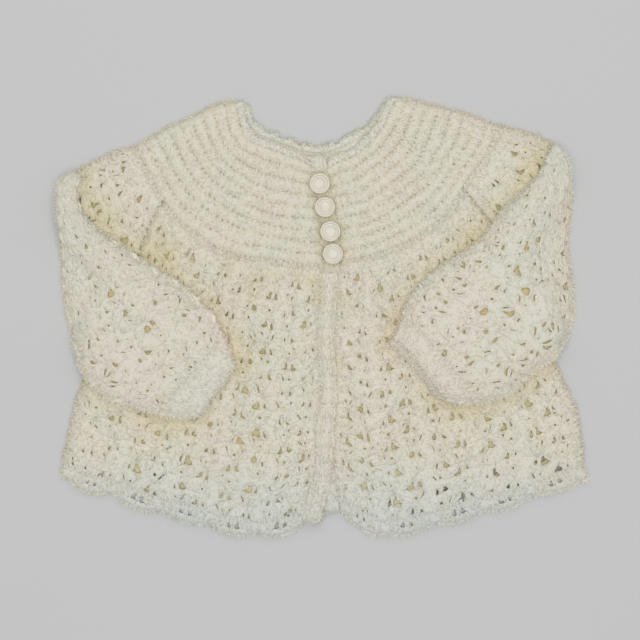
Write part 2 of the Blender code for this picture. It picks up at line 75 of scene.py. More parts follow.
# Lines of the flat cardigan: x and y of the points that each smooth line runs through.
# Right is the wearer's right, at -X.
outline = {
    "neckRight": [(-7.2, 95), (-14, 98), (-24, 101.5), (-33, 105.5), (-40, 109), (-45, 116),
                  (-48.3, 129.6)],
    "neckLeft": [(2.4, 95), (9, 98.5), (15, 99.5), (22, 104), (28, 110.5), (33.5, 118), (36, 125),
                 (40, 132)],
    "shoulderRight": [(-48.3, 129.6), (-65, 127), (-80, 119), (-98, 111), (-113.5, 102)],
    "shoulderLeft": [(40, 132), (55, 129.5), (70, 126), (88, 120.5), (104, 115)],
    "yokeRight": [(-0.4, 31), (-20, 32.4), (-37, 34.8), (-61, 40.2), (-80, 52.8), (-96.3, 70.2),
                  (-113.5, 102)],
    "yokeLeft": [(9.7, 32.5), (34, 38.4), (61, 51), (72, 60), (85.5, 77.4), (97.5, 97.2), (104, 115)],
    "armholeRight": [(-96.3, 70.2), (-120, 24)],
    "armholeLeft": [(85.5, 77.4), (112, 40)],
    "sideRight": [(-120, 24), (-133, -5), (-142, -38), (-149, -56), (-153, -74)],
    "sideLeft": [(112, 40), (128, 2), (142, -38), (150, -56), (154.5, -74)],
    "hemRight": [(-10.5, -127), (-35, -132.4), (-53, -131), (-71, -126.5), (-101, -117.5),
                 (-127, -109), (-159, -97.5)],
    "hemLeft": [(9.4, -118), (22, -126), (33, -132.6), (46, -131), (82, -122.5), (118, -112),
                (160, -99.5)],
    "headTopRight": [(-113.5, 102), (-134, 94), (-149, 87), (-156, 80)],
    "headTopLeft": [(104, 115), (124, 108.5), (138, 102), (144, 95)],
    "headEndRight": [(-156, 80), (-153, 62), (-145, 46), (-133, 34), (-120, 24)],
    "headEndLeft": [(144, 95), (138, 78), (126, 60), (112, 40)],
    "overarmRight": [(-150, 87.5), (-157.5, 80), (-159.5, 68), (-158, 48), (-155, 16), (-153, -4),
                     (-149, -19), (-141, -36), (-130, -47), (-112, -54), (-94, -59.5), (-75, -59)],
    "overarmLeft": [(139, 101.5), (145.5, 95), (147, 80), (147, 46), (149, 12), (147, -10),
                    (141, -20), (127, -31), (106, -48), (94, -51), (82, -51), (71, -48)],
    "underarmRight": [(-146, 84), (-147.5, 74), (-145, 62), (-136, 52), (-118.5, 39), (-97, 24.5),
                      (-78, 13), (-67, 1), (-60, -13), (-54, -29)],
    "underarmLeft": [(135.5, 96), (133, 89), (123.5, 79), (106, 61), (93, 45), (82, 37), (70, 28),
                     (59, 18), (51, 5), (46, -7), (40, -16)],
    "bandMiddle": [(-2.4, 97), (-2.2, 79.8), (0.8, 65.6), (4, 51.2), (5.6, 37.6), (3.9, 28), (2.1, 10),
                   (2.7, -14), (2.1, -38), (2.1, -62), (1.5, -80), (-1.5, -97), (-3.9, -107),
                   (-5.8, -122)],
    "underMiddle": [(-2.4, 95), (-2.2, 79.8), (0.8, 65.6), (4, 51.2), (5.6, 37.6), (3.9, 28), (2.1, 10),
                    (2.7, -14), (2.1, -38), (2.1, -62), (2.6, -84), (3.9, -100), (4.4, -116)],
    "backNeck": [(-46, 128), (-41.5, 119), (-36, 113), (-28, 109), (-18, 105.5), (-4, 103.6), (8, 105.5),
                 (17, 109.5), (25, 113.5), (31, 119), (36, 128)],
}

# Soft folds of the front layer
folds = [
    # from x, y, to x, y, half width, height
    (-50, 30, -57, 8, 9, 2.6),
    (-57, 8, -48, -24, 12, 2.0),
    (-34, 4, -24, -22, 14, 1.8),
    (-12, 28, -9, 4, 5, 1.4),
    (30, 6, 24, -60, 13, 1.5),
    (-70, -72, -92, -100, 13, 1.8),
    (-22, -60, -30, -104, 15, 1.4),
    (62, -66, 70, -104, 14, 1.8),
    (112, -62, 122, -92, 13, 1.8),
    (74, 72, 88, 92, 12, 1.2),
    (-86, 84, -62, 98, 13, 1.2),
]

layers = {
    "wall": 2.4,            # crocheted cloth
    "sleeveWall": 2.2,
    "gap": 0.3,
    "rest": 0.8,            # under a sleeve
    "front": 2.7,           # underside of the front layer
    "band": 5.4,            # underside of the buttonhole band
    "bandWide": 9.6,
    "bandBend": 3.4,        # over which its edges come down to the fronts
    "bandDown": 1.7,        # and by how much
    "rim": 4.0,
    "overhang": 16.0,       # over which a sleeve comes down to the floor past the body
    "crown": 3.2,           # by which a sleeve puffs up
    "crownFrom": 0.25,      # share of the sleeve over which the puff starts
    "crownSquare": 4,       # the more, the flatter its top
    "puffed": 1.15,         # share of the puff that the lower half has
    "mouthFrom": 0.6,       # share of the sleeve past which it opens to its mouth
    "backRise": 0.6,        # how far the back rises between the fronts' edges
    "backSteep": (9, 7),    # how fast, from the sides and from the hem
    "backFollow": 0.6,      # its share of the fronts' folds
    "cuffLong": 20.0,
    "hemDeep": 9.0,
    "scallopDeep": 3.6,
    "scallopSharp": 0.7,    # the less, the sharper the notch between two
    "cornerRound": 3.5,     # by which the hem's outer corner is rounded off
    "cornerShare": 0.08,    # over this share of the hem
    "neckTrim": 4.0,
    "shoulderFrom": 5.0,    # how far past the neck the shoulder's own line starts
    "napeFrom": 8.0,
    "neckScallopDeep": 1.0,
    "napeScallopDeep": 2.0,
    "napeScallopWide": 12.0,
    "offFloor": 0.03,
    "neckMiddle": (-4.0, 136.0),    # x and y of the points round which the neck edging and the hem run
    "hemMiddle": (-0.9, 229.0),
}

mouths = {
    # how far each cuff's upper half reaches, how far it stands open, and the sizes of its sleeve's gaps
    "Right": {"topEnd": 1.0, "rise": 1.4, "gaps": (0.25, 0.95)},
    "Left": {"topEnd": 0.972, "rise": 3.4, "gaps": (0.4, 1.25)},
}

buttonPlaces = [
    # x, y, tilt about X, tilt about Y
    (-2.2, 79.8, 4, -5),
    (0.8, 65.6, -5, 4),
    (4.0, 51.2, 5, 5),
    (5.6, 37.6, -4, -3),
]


def smoothLine(points):
    knots = np.array(points, float)
    chord = np.linalg.norm(np.diff(knots, axis=0), axis=1)
    at = np.concatenate([[0], np.cumsum(chord)])
    slope = np.gradient(knots, at, axis=0)
    dense = []
    for k, length in enumerate(chord):
        for s in np.linspace(0, 1, 9)[: None if k == len(chord) - 1 else -1]:
            rise = 3 * s**2 - 2 * s**3
            leave, arrive = s**3 - 2 * s**2 + s, s**3 - s**2
            bend = length * (leave * slope[k] + arrive * slope[k + 1])
            dense.append((1 - rise) * knots[k] + rise * knots[k + 1] + bend)
    return np.array(dense)


def lengths(line):
    return np.concatenate([[0], np.cumsum(np.linalg.norm(np.diff(line, axis=0), axis=1))])


def onLine(line, t):
    at = lengths(line)
    s = np.asarray(t) * at[-1]
    return np.stack([np.interp(s, at, line[:, 0]), np.interp(s, at, line[:, 1])], axis=-1)


def stretch(line, start, end):
    return lambda t: onLine(line, start + (end - start) * np.asarray(t))


def whole(line):
    return stretch(line, 0.0, 1.0)


def straight(first, last):
    return lambda t: (1 - np.asarray(t)[..., None]) * first + np.asarray(t)[..., None] * last


def joined(*parts):
    points = np.concatenate(parts)
    kept = np.concatenate([[True], np.linalg.norm(np.diff(points, axis=0), axis=1) > 1e-6])
    return points[kept]


def movedFrom(line, centre, distance):
    away = line - np.array(centre)
    return line + distance * away / np.linalg.norm(away, axis=1)[:, None]


def startedAt(point, line, skipped):
    return joined([point], line[lengths(line) > skipped])


def atHeight(line, y):
    at = lengths(line)
    return float(np.interp(-y, -line[:, 1], at)) / at[-1]


def nearest(line, point):
    k = int(np.argmin(np.linalg.norm(line - np.array(point), axis=1)))
    at = lengths(line)
    return at[k] / at[-1]


def smoothStep(x):
    x = np.clip(x, 0, 1)
    return x * x * (3 - 2 * x)


def panel(near, far, start, end):
    # near and far run with u, start and end with v
    def place(u, v):
        a, b = np.asarray(u)[..., None], np.asarray(v)[..., None]
        longWay = (1 - b) * near(u) + b * far(u)
        crossWay = (1 - a) * start(v) + a * end(v)
        corners = (1 - b) * ((1 - a) * near(0) + a * near(1)) + b * ((1 - a) * far(0) + a * far(1))
        return longWay + crossWay - corners

    return place


def spanOf(place, alongU, at=0.5):
    t = np.linspace(0, 1, 41)
    fixed = np.full_like(t, at)
    spots = place(t, fixed) if alongU else place(fixed, t)
    return float(np.linalg.norm(np.diff(spots, axis=0), axis=1).sum())


def shares(length, pitch, rimStart=0.0, rimEnd=0.0):
    inner = length - rimStart - rimEnd
    count = max(1, round(inner / pitch))
    marks = [rimStart + inner * k / count for k in range(count + 1)]
    marks = ([0.0] if rimStart else []) + marks + ([length] if rimEnd else [])
    return np.array(marks) / length


def foldHeight(x, y):
    total = np.zeros(np.shape(x))
    for ax, ay, bx, by, half, height in folds:
        longX, longY = bx - ax, by - ay
        t = np.clip(((x - ax) * longX + (y - ay) * longY) / (longX**2 + longY**2), 0, 1)
        away = np.hypot(x - ax - t * longX, y - ay - t * longY)
        total = total + height * np.exp(-((away / half) ** 2))
    return total


lines = {name: smoothLine(points) for name, points in outline.items()}


def bodySide(y, side):
    points = np.concatenate([lines["headEnd" + side], lines["side" + side]])
    order = np.argsort(points[:, 1])
    return np.interp(y, points[order, 1], points[order, 0])


def underSleeve(x, y, side):
    out = bodySide(y, side) - x if side == "Right" else x - bodySide(y, side)
    drop = smoothStep((out - layers["rim"]) / layers["overhang"])
    return (layers["front"] + layers["wall"] + layers["rest"] + foldHeight(x, y)) * (1 - drop)


def frontLow(x, y, u, v):
    return layers["front"] + foldHeight(x, y)


def floorLow(x, y, u, v):
    return np.zeros(np.shape(x))


def backLow(x, y, u, v):
    fromSides, fromHem = layers["backSteep"]
    inner = smoothStep(np.minimum(np.minimum(u, 1 - u) * fromSides, (1 - v) * fromHem))
    return (layers["backRise"] + layers["backFollow"] * foldHeight(x, y)) * inner


def scalloped(base, tips, marks, deep, rounded=0.0):
    # a strip from straight pieces between the marks to a line with a scallop for each two of them
    def baseAt(t):
        return np.stack([np.interp(t, marks, onLine(base, marks)[:, k]) for k in range(2)], axis=-1)

    def outer(t):
        column = np.interp(t, marks, np.arange(len(marks)))
        notch = 1 - np.abs(np.sin(math.pi * column / 2)) ** layers["scallopSharp"]
        out = onLine(tips, t) - baseAt(t)
        corner = rounded * np.clip((np.asarray(t) - 1) / layers["cornerShare"] + 1, 0, 1) ** 2
        inward = deep * notch + (1 - notch) * corner
        return onLine(tips, t) - out / np.linalg.norm(out, axis=-1, keepdims=True) * inward[..., None]

    return panel(baseAt, outer, *(straight(baseAt(np.array(t)), outer(np.array(t))) for t in (0.0, 1.0)))


laceGrid = {"column": 13.0, "row": 8.2}  # half a shell of the lace, and the height of a row
cloths = {}


def addCloth(name, place, low, slot, **facts):
    cloths[name] = {
        "name": name, "place": place, "low": low, "slot": slot, "wall": layers["wall"],
        "wide": spanOf(place, True), "tall": spanOf(place, False), **facts,
    }
    return cloths[name]


def layFront(side):
    low = side.lower()
    across = layers["bandWide"] / 2 * (-1 if side == "Right" else 1)
    edge = lines["bandMiddle" if side == "Right" else "underMiddle"] + np.array((across, 0))
    atNeck = atHeight(edge, outline["neck" + side][0][1])
    atYoke = atHeight(edge, outline["yoke" + side][0][1])
    atHem = atHeight(edge, outline["hem" + side][0][1] + layers["hemDeep"])
    yoke, neck = lines["yoke" + side], lines["neck" + side]
    armhole = nearest(yoke, outline["armhole" + side][0])
    base = movedFrom(neck, layers["neckMiddle"], layers["neckTrim"])
    hemBase = movedFrom(lines["hem" + side], layers["hemMiddle"], -layers["hemDeep"])
    sideLine = joined(lines["armhole" + side], lines["side" + side], hemBase[-1:])
    trim = layers["neckTrim"] / lengths(edge)[-1]
    shoulder = startedAt(base[-1], lines["shoulder" + side], layers["shoulderFrom"])
    yokePlace = panel(whole(base), whole(yoke), stretch(edge, atNeck + trim, atYoke), whole(shoulder))
    frontPlace = panel(stretch(yoke, 0, armhole), whole(hemBase), stretch(edge, atYoke, atHem),
                       whole(sideLine))
    headPlace = panel(stretch(yoke, armhole, 1), stretch(lines["headEnd" + side], 1, 0),
                      whole(lines["armhole" + side]), whole(lines["headTop" + side]))
    front = addCloth("front_" + low, frontPlace, frontLow, "yarn_lace")
    head = addCloth("sleeve_head_front_" + low, headPlace, frontLow, "yarn_lace")
    front["marks"] = shares(front["wide"], laceGrid["column"], 0, layers["rim"])
    head["marks"] = shares(head["wide"], laceGrid["column"], 0, layers["rim"])
    addCloth("yoke_" + low, yokePlace, frontLow, "yarn_rib")
    yokeMarks = np.concatenate([armhole * front["marks"], (armhole + (1 - armhole) * head["marks"])[1:]])
    hemPlace = scalloped(hemBase, lines["hem" + side], front["marks"], layers["scallopDeep"],
                         layers["cornerRound"])
    hem = addCloth("hem_front_" + low, hemPlace, frontLow, "yarn_edge")
    hem["scallops"] = [(front["marks"][k], 1 if k % 4 == 1 else -1)
                       for k in range(1, len(front["marks"]) - 1, 2)]
    trimPlace = scalloped(base, neck, yokeMarks, layers["neckScallopDeep"])
    addCloth("neck_edging_" + low, trimPlace, frontLow, "yarn_edge")["marks"] = yokeMarks
    return {"head": head, "hemBase": hemBase}


def layBackHem():
    # under the fronts' hems, scallop for scallop
    t = np.linspace(0, 1, 241)
    right, left = cloths["hem_front_right"], cloths["hem_front_left"]
    rows = [np.concatenate([right["place"](t[::-1], along), left["place"](t, along)])
            for along in (np.zeros_like(t), np.ones_like(t))]
    at = np.linspace(0, 1, len(rows[0]))

    def place(u, v):
        near, far = (np.stack([np.interp(u, at, row[:, k]) for k in range(2)], axis=-1) for row in rows)
        b = np.asarray(v)[..., None]
        return (1 - b) * near + b * far

    scallops = [((1 - u) / 2, sign) for u, sign in right["scallops"]]
    scallops += [((1 + u) / 2, sign) for u, sign in left["scallops"]]
    addCloth("hem_back", place, floorLow, "yarn_edge", scallops=scallops)


def layBack(fronts):
    yokeLine = joined(lines["yokeRight"][::-1], lines["yokeLeft"])
    hemBase = joined(fronts["Right"]["hemBase"][::-1], fronts["Left"]["hemBase"])
    neckBase = movedFrom(lines["backNeck"], layers["neckMiddle"], layers["neckTrim"])
    sides = {s: joined(lines["armhole" + s], lines["side" + s], fronts[s]["hemBase"][-1:])
             for s in ("Right", "Left")}
    fromRight = nearest(yokeLine, outline["armholeRight"][0])
    fromLeft = nearest(yokeLine, outline["armholeLeft"][0])
    lace = panel(stretch(yokeLine, fromRight, fromLeft), whole(hemBase), whole(sides["Right"]),
                 whole(sides["Left"]))
    back = addCloth("back", lace, backLow, "yarn_lace")
    back["marks"] = shares(back["wide"], laceGrid["column"], layers["rim"], layers["rim"])
    ends = [whole(startedAt(neckBase[k], lines["shoulder" + s], layers["napeFrom"]))
            for s, k in (("Right", 0), ("Left", -1))]
    addCloth("yoke_back", panel(whole(neckBase), whole(yokeLine), *ends), floorLow, "yarn_rib")
    layBackHem()
    trimMarks = shares(lengths(neckBase)[-1], layers["napeScallopWide"] / 2)
    trimPlace = scalloped(neckBase, lines["backNeck"], trimMarks, layers["napeScallopDeep"])
    addCloth("neck_edging_back", trimPlace, floorLow, "yarn_edge")
    for side in ("Right", "Left"):
        head = fronts[side]["head"]
        addCloth("sleeve_head_back_" + side.lower(), head["place"], floorLow, "yarn_lace",
                 marks=head["marks"])


def laySleeve(side):
    low = side.lower()
    overarm, underarm = lines["overarm" + side], lines["underarm" + side]
    place = panel(straight(overarm[0], underarm[0]), straight(overarm[-1], underarm[-1]), whole(overarm),
                  whole(underarm))
    tall = spanOf(place, False)
    cuffFrom = 1 - layers["cuffLong"] / tall
    rise, topEnd = mouths[side]["rise"], mouths[side]["topEnd"]

    def crown(u, v):
        belly = 1 - (2 * u - 1) ** layers["crownSquare"]
        mouth = smoothStep((v - layers["mouthFrom"]) / (1 - layers["mouthFrom"]))
        high = layers["crown"] + (rise - layers["crown"]) * mouth
        return belly * smoothStep(v / layers["crownFrom"]) * high

    over = layers["sleeveWall"] + layers["gap"]
    for name, start, end, lift, puff, slot in (
        ("sleeve_under_", 0, cuffFrom, 0, layers["puffed"], "yarn_lace"),
        ("sleeve_top_", 0, cuffFrom, over, 1, "yarn_lace"),
        ("cuff_under_", cuffFrom, 1, 0, 0, "yarn_edge"),
        ("cuff_top_", cuffFrom, topEnd, over, 1, "yarn_edge"),
    ):
        def part(u, v, a=start, b=end):
            return place(u, a + (b - a) * np.asarray(v))

        def level(x, y, u, v, a=start, b=end, lift=lift, puff=puff):
            return underSleeve(x, y, side) + lift + puff * crown(u, a + (b - a) * v)

        cloth = addCloth(name + low, part, level, slot, held="folded", wall=layers["sleeveWall"])
        cloth["marks"] = shares(cloth["wide"], laceGrid["column"], layers["rim"], layers["rim"])


def layBands():
    for name, middle, level, bent in (
        ("button_band", "underMiddle", layers["front"], 0.0),
        ("buttonhole_band", "bandMiddle", layers["band"], layers["bandDown"]),
    ):
        half = layers["bandWide"] / 2
        left, right = (lines[middle] + np.array((s * half, 0)) for s in (-1, 1))

        def lower(x, y, u, v, level=level, bent=bent):
            near = smoothStep(np.minimum(u, 1 - u) * layers["bandWide"] / layers["bandBend"])
            return level + foldHeight(x, y) - bent * (1 - near)

        place = panel(straight(left[0], right[0]), straight(left[-1], right[-1]), whole(left), whole(right))
        addCloth(name, place, lower, "yarn_edge")


frontPlans = {side: layFront(side) for side in ("Right", "Left")}
layBack(frontPlans)
for side in ("Right", "Left"):
    laySleeve(side)
layBands()
print("cloth laid out:", len(cloths), "pieces")

# Yarn
hand = {
    "sway": 1.3,        # mm that a row wanders
    "slip": 0.45,       # mm that a stitch is off its place
    "uneven": 0.08,     # share by which yarn is thicker or thinner
    "edge": 5.0,        # mm over which a free edge is rounded off
    "edgeLow": 0.9,     # mm off the floor that it stays
    "edgePale": 4.0,    # by how much a free edge is kept out of the painted shade of the deep colour
    "paleFrom": 2.0,    # depth past which a sunk layer gets no more painted shade than others
    "lift": 0.08,       # mm that a stitch is off its height
    "turn": (0.4, 0.25),    # radians by which its strands start turned, and how far that varies
}


def swayed(x, y):
    # slow waves, 50 to 200 mm long
    a = hand["sway"]
    return (x + a * np.sin(y / 9.1 + 1.3 * np.sin(x / 23)) * np.cos(x / 31 + 0.7),
            y + a * np.sin(x / 8.3 + 1.7 * np.sin(y / 19 + 2)) * np.cos(y / 27))


def edgeDrop(cloth, u, v):
    # share of its thickness that the cloth loses towards its free edges
    far = (u * cloth["wide"], (1 - u) * cloth["wide"], v * cloth["tall"], (1 - v) * cloth["tall"])
    drop = np.zeros(np.shape(u))
    for distance, share in zip(far, cloth.get("drops", (0, 0, 0, 0))):
        drop = np.maximum(drop, share * (1 - smoothStep(distance / hand["edge"])))
    return drop


def spot(cloth, u, v, z):
    # x, y, height and the level that depth is measured from, in mm, and the share of the cloth's thickness
    # there; u and v may run a little past the edges
    inU, inV = np.clip(u, 0, 1), np.clip(v, 0, 1)
    xy, step = cloth["place"](inU, inV), 0.01
    for past, nextU, nextV in ((u - inU, step, 0), (v - inV, 0, step)):
        if np.any(past):
            ends = [cloth["place"](np.clip(inU + k * nextU, 0, 1), np.clip(inV + k * nextV, 0, 1))
                    for k in (-1, 1)]
            xy = xy + (ends[1] - ends[0]) / step * past[..., None]
    x, y = swayed(xy[..., 0], xy[..., 1])
    drop = edgeDrop(cloth, inU, inV)
    low = cloth["low"](x, y, inU, inV)
    low = np.maximum(low - cloth.get("tuck", 0) * drop, np.minimum(low, hand["edgeLow"]))
    thick = cloth["wall"] / layers["wall"] * (1 - drop)
    # lowered at free edges, which so get less of the painted shade
    zero = low - hand["edgePale"] * drop * thick * layers["wall"]
    return np.stack([x, y, low + z * thick, zero, thick], axis=-1)


def unit(vectors):
    size = np.linalg.norm(vectors, axis=-1, keepdims=True)
    return vectors / np.maximum(size, 1e-9)


def twisted(paths, turns, spread, rise, phase):
    # two strands wound round each path
    tangent = unit(np.gradient(paths[..., :3], axis=1))
    across = unit(np.cross(tangent, (0, 0, 1)))
    angle = phase[:, None] + 2 * math.pi * turns * np.linspace(0, 1, paths.shape[1])[None, :]
    strands = []
    for half in (0, math.pi):
        strand = paths.copy()
        strand[..., :3] += across * (spread * np.cos(angle + half))[..., None]
        strand[..., 2] += rise * np.sin(angle + half)
        strands.append(strand)
    return np.concatenate(strands)


def tubes(paths, radii, sides):
    # vertex places, outward directions, faces, depth in the cloth and yarn coordinates of strands along paths
    count, steps = paths.shape[:2]
    centre = paths[..., :3]
    tangent = unit(np.gradient(centre, axis=1))
    across = unit(np.cross(tangent, (0, 0, 1)))
    up = np.cross(across, tangent)
    angle = 2 * math.pi * (np.arange(sides) + 0.5) / sides
    outward = across[:, :, None] * np.cos(angle)[:, None] + up[:, :, None] * np.sin(angle)[:, None]
    uneven = 1 + hand["uneven"] * dice.standard_normal((count, 1))
    radius = np.broadcast_to(radii, (count, steps)) * uneven
    places = centre[:, :, None] + outward * radius[:, :, None, None]
    ids = np.arange(count * steps * sides).reshape(count, steps, sides)
    turned = np.roll(ids, -1, axis=2)
    quads = np.stack([ids[:, :-1], ids[:, 1:], turned[:, 1:], turned[:, :-1]], axis=-1).reshape(-1, 4)
    caps = np.concatenate([ids[:, 0], ids[:, -1, ::-1]])
    depth = (places[..., 2] - paths[:, :, None, 3]) / paths[:, :, None, 4] / layers["wall"]
    pieces = np.linalg.norm(np.diff(centre, axis=1), axis=-1)
    run = np.concatenate([np.zeros((count, 1)), np.cumsum(pieces, axis=1)], axis=1)
    yarn = np.stack(np.broadcast_arrays(np.cos(angle), np.sin(angle), run[..., None]), axis=-1)
    return {
        "places": places.reshape(-1, 3), "outward": outward.reshape(-1, 3), "faces": [quads, caps],
        "depth": depth.reshape(-1), "yarn": yarn.reshape(-1, 3),
    }


fluffLook = {
    "dense": 1.1,               # tufts to a square millimetre of cloth
    "long": (0.9, 2.6),         # mm
    "thick": 0.2,               # mm at the root, half its width
    "wild": 0.9,                # how far they lean from straight out
    "flat": 0.4,                # share of its rise that a tuft keeps
    "upwards": 0.2,             # how far the yarn faces up where one grows
    "offFloor": 0.15,           # mm, of its tip
    "patch": 2.5,               # mm, of the patches that have equal shares of them
    "edge": 6.0,                # tufts to a millimetre of free edge
    "edgeLong": (1.2, 4.6),
    "edgeHigh": (0.2, 2.2),     # mm over the cloth's underside at their roots
    "edgeIn": 0.3,              # mm that their roots are in from the edge
    "edgeWild": 0.55,
}


def spikes(root, lean, long, depth):
    # three-sided pointed tufts
    count = len(root)
    tip = root + lean * long
    tip[:, 2] = np.maximum(tip[:, 2], fluffLook["offFloor"])
    across = unit(np.cross(lean, (0.31, 0.17, 0.93)))  # any direction off their own
    other = np.cross(across, lean)
    ring = np.array([(math.cos(a), math.sin(a)) for a in (0, 2 * math.pi / 3, 4 * math.pi / 3)])
    spread = across[:, None] * ring[:, :1] + other[:, None] * ring[:, 1:]
    places = np.concatenate([root[:, None] + spread * fluffLook["thick"], tip[:, None]], axis=1)
    ids = np.arange(count)[:, None] * 4
    faces = np.concatenate([ids + np.array(q) for q in ((0, 3, 1), (1, 3, 2), (2, 3, 0), (0, 1, 2))])
    return {
        "places": places.reshape(-1, 3), "faces": [faces],
        "depth": np.repeat(depth, 4), "yarn": np.tile((1.0, 0.0, 0.0), (count * 4, 1)), "smooth": False,
    }


def hairsOn(batch, count):
    # tufts that lie about on a batch of yarn, as many on each patch of it
    upwards = np.flatnonzero(batch["outward"][:, 2] > fluffLook["upwards"])
    patch = np.round(batch["places"][upwards, :2] / fluffLook["patch"]).astype(int)
    _, spots, crowd = np.unique(patch, axis=0, return_inverse=True, return_counts=True)
    even = 1 / crowd[spots.reshape(-1)]
    pick = dice.choice(upwards, count, p=even / even.sum())
    lean = unit(batch["outward"][pick] + dice.normal(0, fluffLook["wild"], (count, 3)))
    lean = unit(np.abs(lean[:, 2:]) * (0, 0, fluffLook["flat"]) + lean * (1, 1, 0))
    long = dice.uniform(*fluffLook["long"], (count, 1))
    return spikes(batch["places"][pick], lean, long, batch["depth"][pick])


def edgeHairs(cloth, sides):
    # tufts that stand out from the free edges, 0 and 1 at the ends of u and 2 and 3 at those of v
    found = []
    for side in sides:
        count = int(spanOf(cloth["place"], side > 1, side % 2) * fluffLook["edge"])
        t, on = dice.uniform(0, 1, count), np.full(count, float(side % 2))
        into = np.full(count, abs(side % 2 - 0.03))  # a little way in, to tell which way is out
        high = dice.uniform(*fluffLook["edgeHigh"], count)
        root, inside = (spot(cloth, *((t, c) if side > 1 else (c, t)), high) for c in (on, into))
        out = unit((root - inside)[:, :3] * (1, 1, 0))
        lean = unit(out + dice.normal(0, fluffLook["edgeWild"], (count, 3)))
        long = dice.uniform(*fluffLook["edgeLong"], (count, 1))
        # edge tufts get the full painted edge light
        depth = np.full(count, 1 + hand["edgePale"])
        found.append(spikes(root[:, :3] - out * fluffLook["edgeIn"], lean, long, depth))
    return found


def makeMesh(name, batches, material, sunkShade=1.0, paintedShade=False):
    # one mesh from batches of places in mm, with faces of any number of corners
    places, depth, yarn, loops, starts, smooth = [], [], [], [], [], []
    used = corners = 0
    for batch in batches:
        for faces in batch["faces"]:
            loops.append(faces.reshape(-1) + used)
            starts.append(corners + np.arange(len(faces)) * faces.shape[1])
            corners += faces.size
            smooth.append(np.full(len(faces), batch.get("smooth", True)))
        places.append(batch["places"])
        # a layer under others gets more of the painted shade, by its sunkShade
        depth.append(batch["depth"] * np.where(batch["depth"] > hand["paleFrom"], 1.0, sunkShade))
        yarn.append(batch["yarn"])
        used += len(batch["places"])
    places = np.concatenate(places)
    places[:, 2] = np.maximum(places[:, 2], layers["offFloor"])
    mesh = bpy.data.meshes.new(name)
    mesh.vertices.add(used)
    mesh.vertices.foreach_set("co", (places * mm).astype(np.float32).ravel())
    loops, starts = np.concatenate(loops).astype(np.int32), np.concatenate(starts).astype(np.int32)
    mesh.loops.add(len(loops))
    mesh.loops.foreach_set("vertex_index", loops)
    mesh.polygons.add(len(starts))
    mesh.polygons.foreach_set("loop_start", starts)
    mesh.update(calc_edges=True)
    mesh.polygons.foreach_set("use_smooth", np.concatenate(smooth))
    # share of painted shade at each point, read from the map
    paintedShadeShares = [paintedShadeAt(batch["places"]) * paintedShade for batch in batches]
    for title, kind, field, values in (("depth", "FLOAT", "value", depth), ("paintedShade", "FLOAT", "value", paintedShadeShares),
                                       ("yarn", "FLOAT_VECTOR", "vector", yarn)):
        data = mesh.attributes.new(title, kind, "POINT").data
        data.foreach_set(field, np.concatenate(values).astype(np.float32).ravel())
    mesh.materials.append(material)
    made = bpy.data.objects.new(name, mesh)
    bpy.context.scene.collection.objects.link(made)
    return made


# Painted shade: yarn in a hollow, beside a sleeve or round a button gets a darker colour, as shade falls
# there
paintedShadeLook = {
    "reach": 10.0, "most": 0.65,            # beside a sleeve
    "buttonReach": 8.0, "buttonMost": 0.75,
    "hollows": [
        # x, y, radius in mm, how deep the painted shade is
        (-134, 60, 14, 0.75), (-100, 38, 15, 0.9), (-57, 32, 9, 0.45), (-52, -24, 12, 0.5),
        (-45, 12, 8, 0.35), (130, 88, 12, 0.9), (106, 62, 10, 0.6), (88, 47, 9, 0.7), (50, -6, 10, 0.5),
        (66, -42, 10, 0.6), (84, -52, 12, 0.5), (12, 8, 7, 0.4), (9, -28, 6, 0.35), (-92, -62, 12, 0.4),
        (-43, 22, 5, 0.4), (-35, 26, 5, 0.4), (-26, 25, 4, 0.4), (-16, 26, 4, 0.5), (-7, 21, 5, 0.7),
        (-3, 10, 4, 0.7), (-56, -22, 8, 0.25), (-62, -30, 7, 0.25),
    ],
    "grid": 1.5,            # mm between the map's points, out to half its size
    "half": (170, 140),
}


def makePaintedShadeMap():
    x, y = np.meshgrid(*(np.arange(-half, half + 1, paintedShadeLook["grid"]) for half in paintedShadeLook["half"]))
    edge = np.concatenate([onLine(lines[kind + side], np.linspace(0, 1, 90))
                           for side in ("Right", "Left") for kind in ("overarm", "underarm")])
    away = np.min(np.hypot(x[..., None] - edge[:, 0], y[..., None] - edge[:, 1]), axis=-1)
    clear = 1 - paintedShadeLook["most"] * np.exp(-(away / paintedShadeLook["reach"]) ** 2)
    rounds = [(bx, by, paintedShadeLook["buttonReach"], paintedShadeLook["buttonMost"], 4) for bx, by, *_ in buttonPlaces]
    for cx, cy, radius, deep, steep in rounds + [(*hollow, 2) for hollow in paintedShadeLook["hollows"]]:
        clear *= 1 - deep * np.exp(-(np.hypot(x - cx, y - cy) / radius) ** steep)
    return 1 - clear


def paintedShadeAt(places):
    spots = np.round((places[:, :2] + paintedShadeLook["half"]) / paintedShadeLook["grid"]).astype(int)
    column, row = np.clip(spots, 0, (paintedShadeMap.shape[1] - 1, paintedShadeMap.shape[0] - 1)).T
    return paintedShadeMap[row, column]


paintedShadeMap = makePaintedShadeMap()


def insideOutline(x, y, corners):
    # whether points are in a closed outline
    found = np.zeros(np.shape(x), bool)
    for (ax, ay), (bx, by) in zip(corners, np.roll(corners, 1, axis=0)):
        if ay != by:
            found ^= ((ay > y) != (by > y)) & (x < (bx - ax) * (y - ay) / (by - ay) + ax)
    return found


postShape = {
    "radius": 0.9,          # mm, of one strand
    "spread": 0.62,         # mm from the post's middle to a strand's
    "rise": 0.22,
    "turns": 0.7,
    "middle": 1.32,         # mm over the cloth's underside
    "ends": 0.75,           # how thick its ends are
}


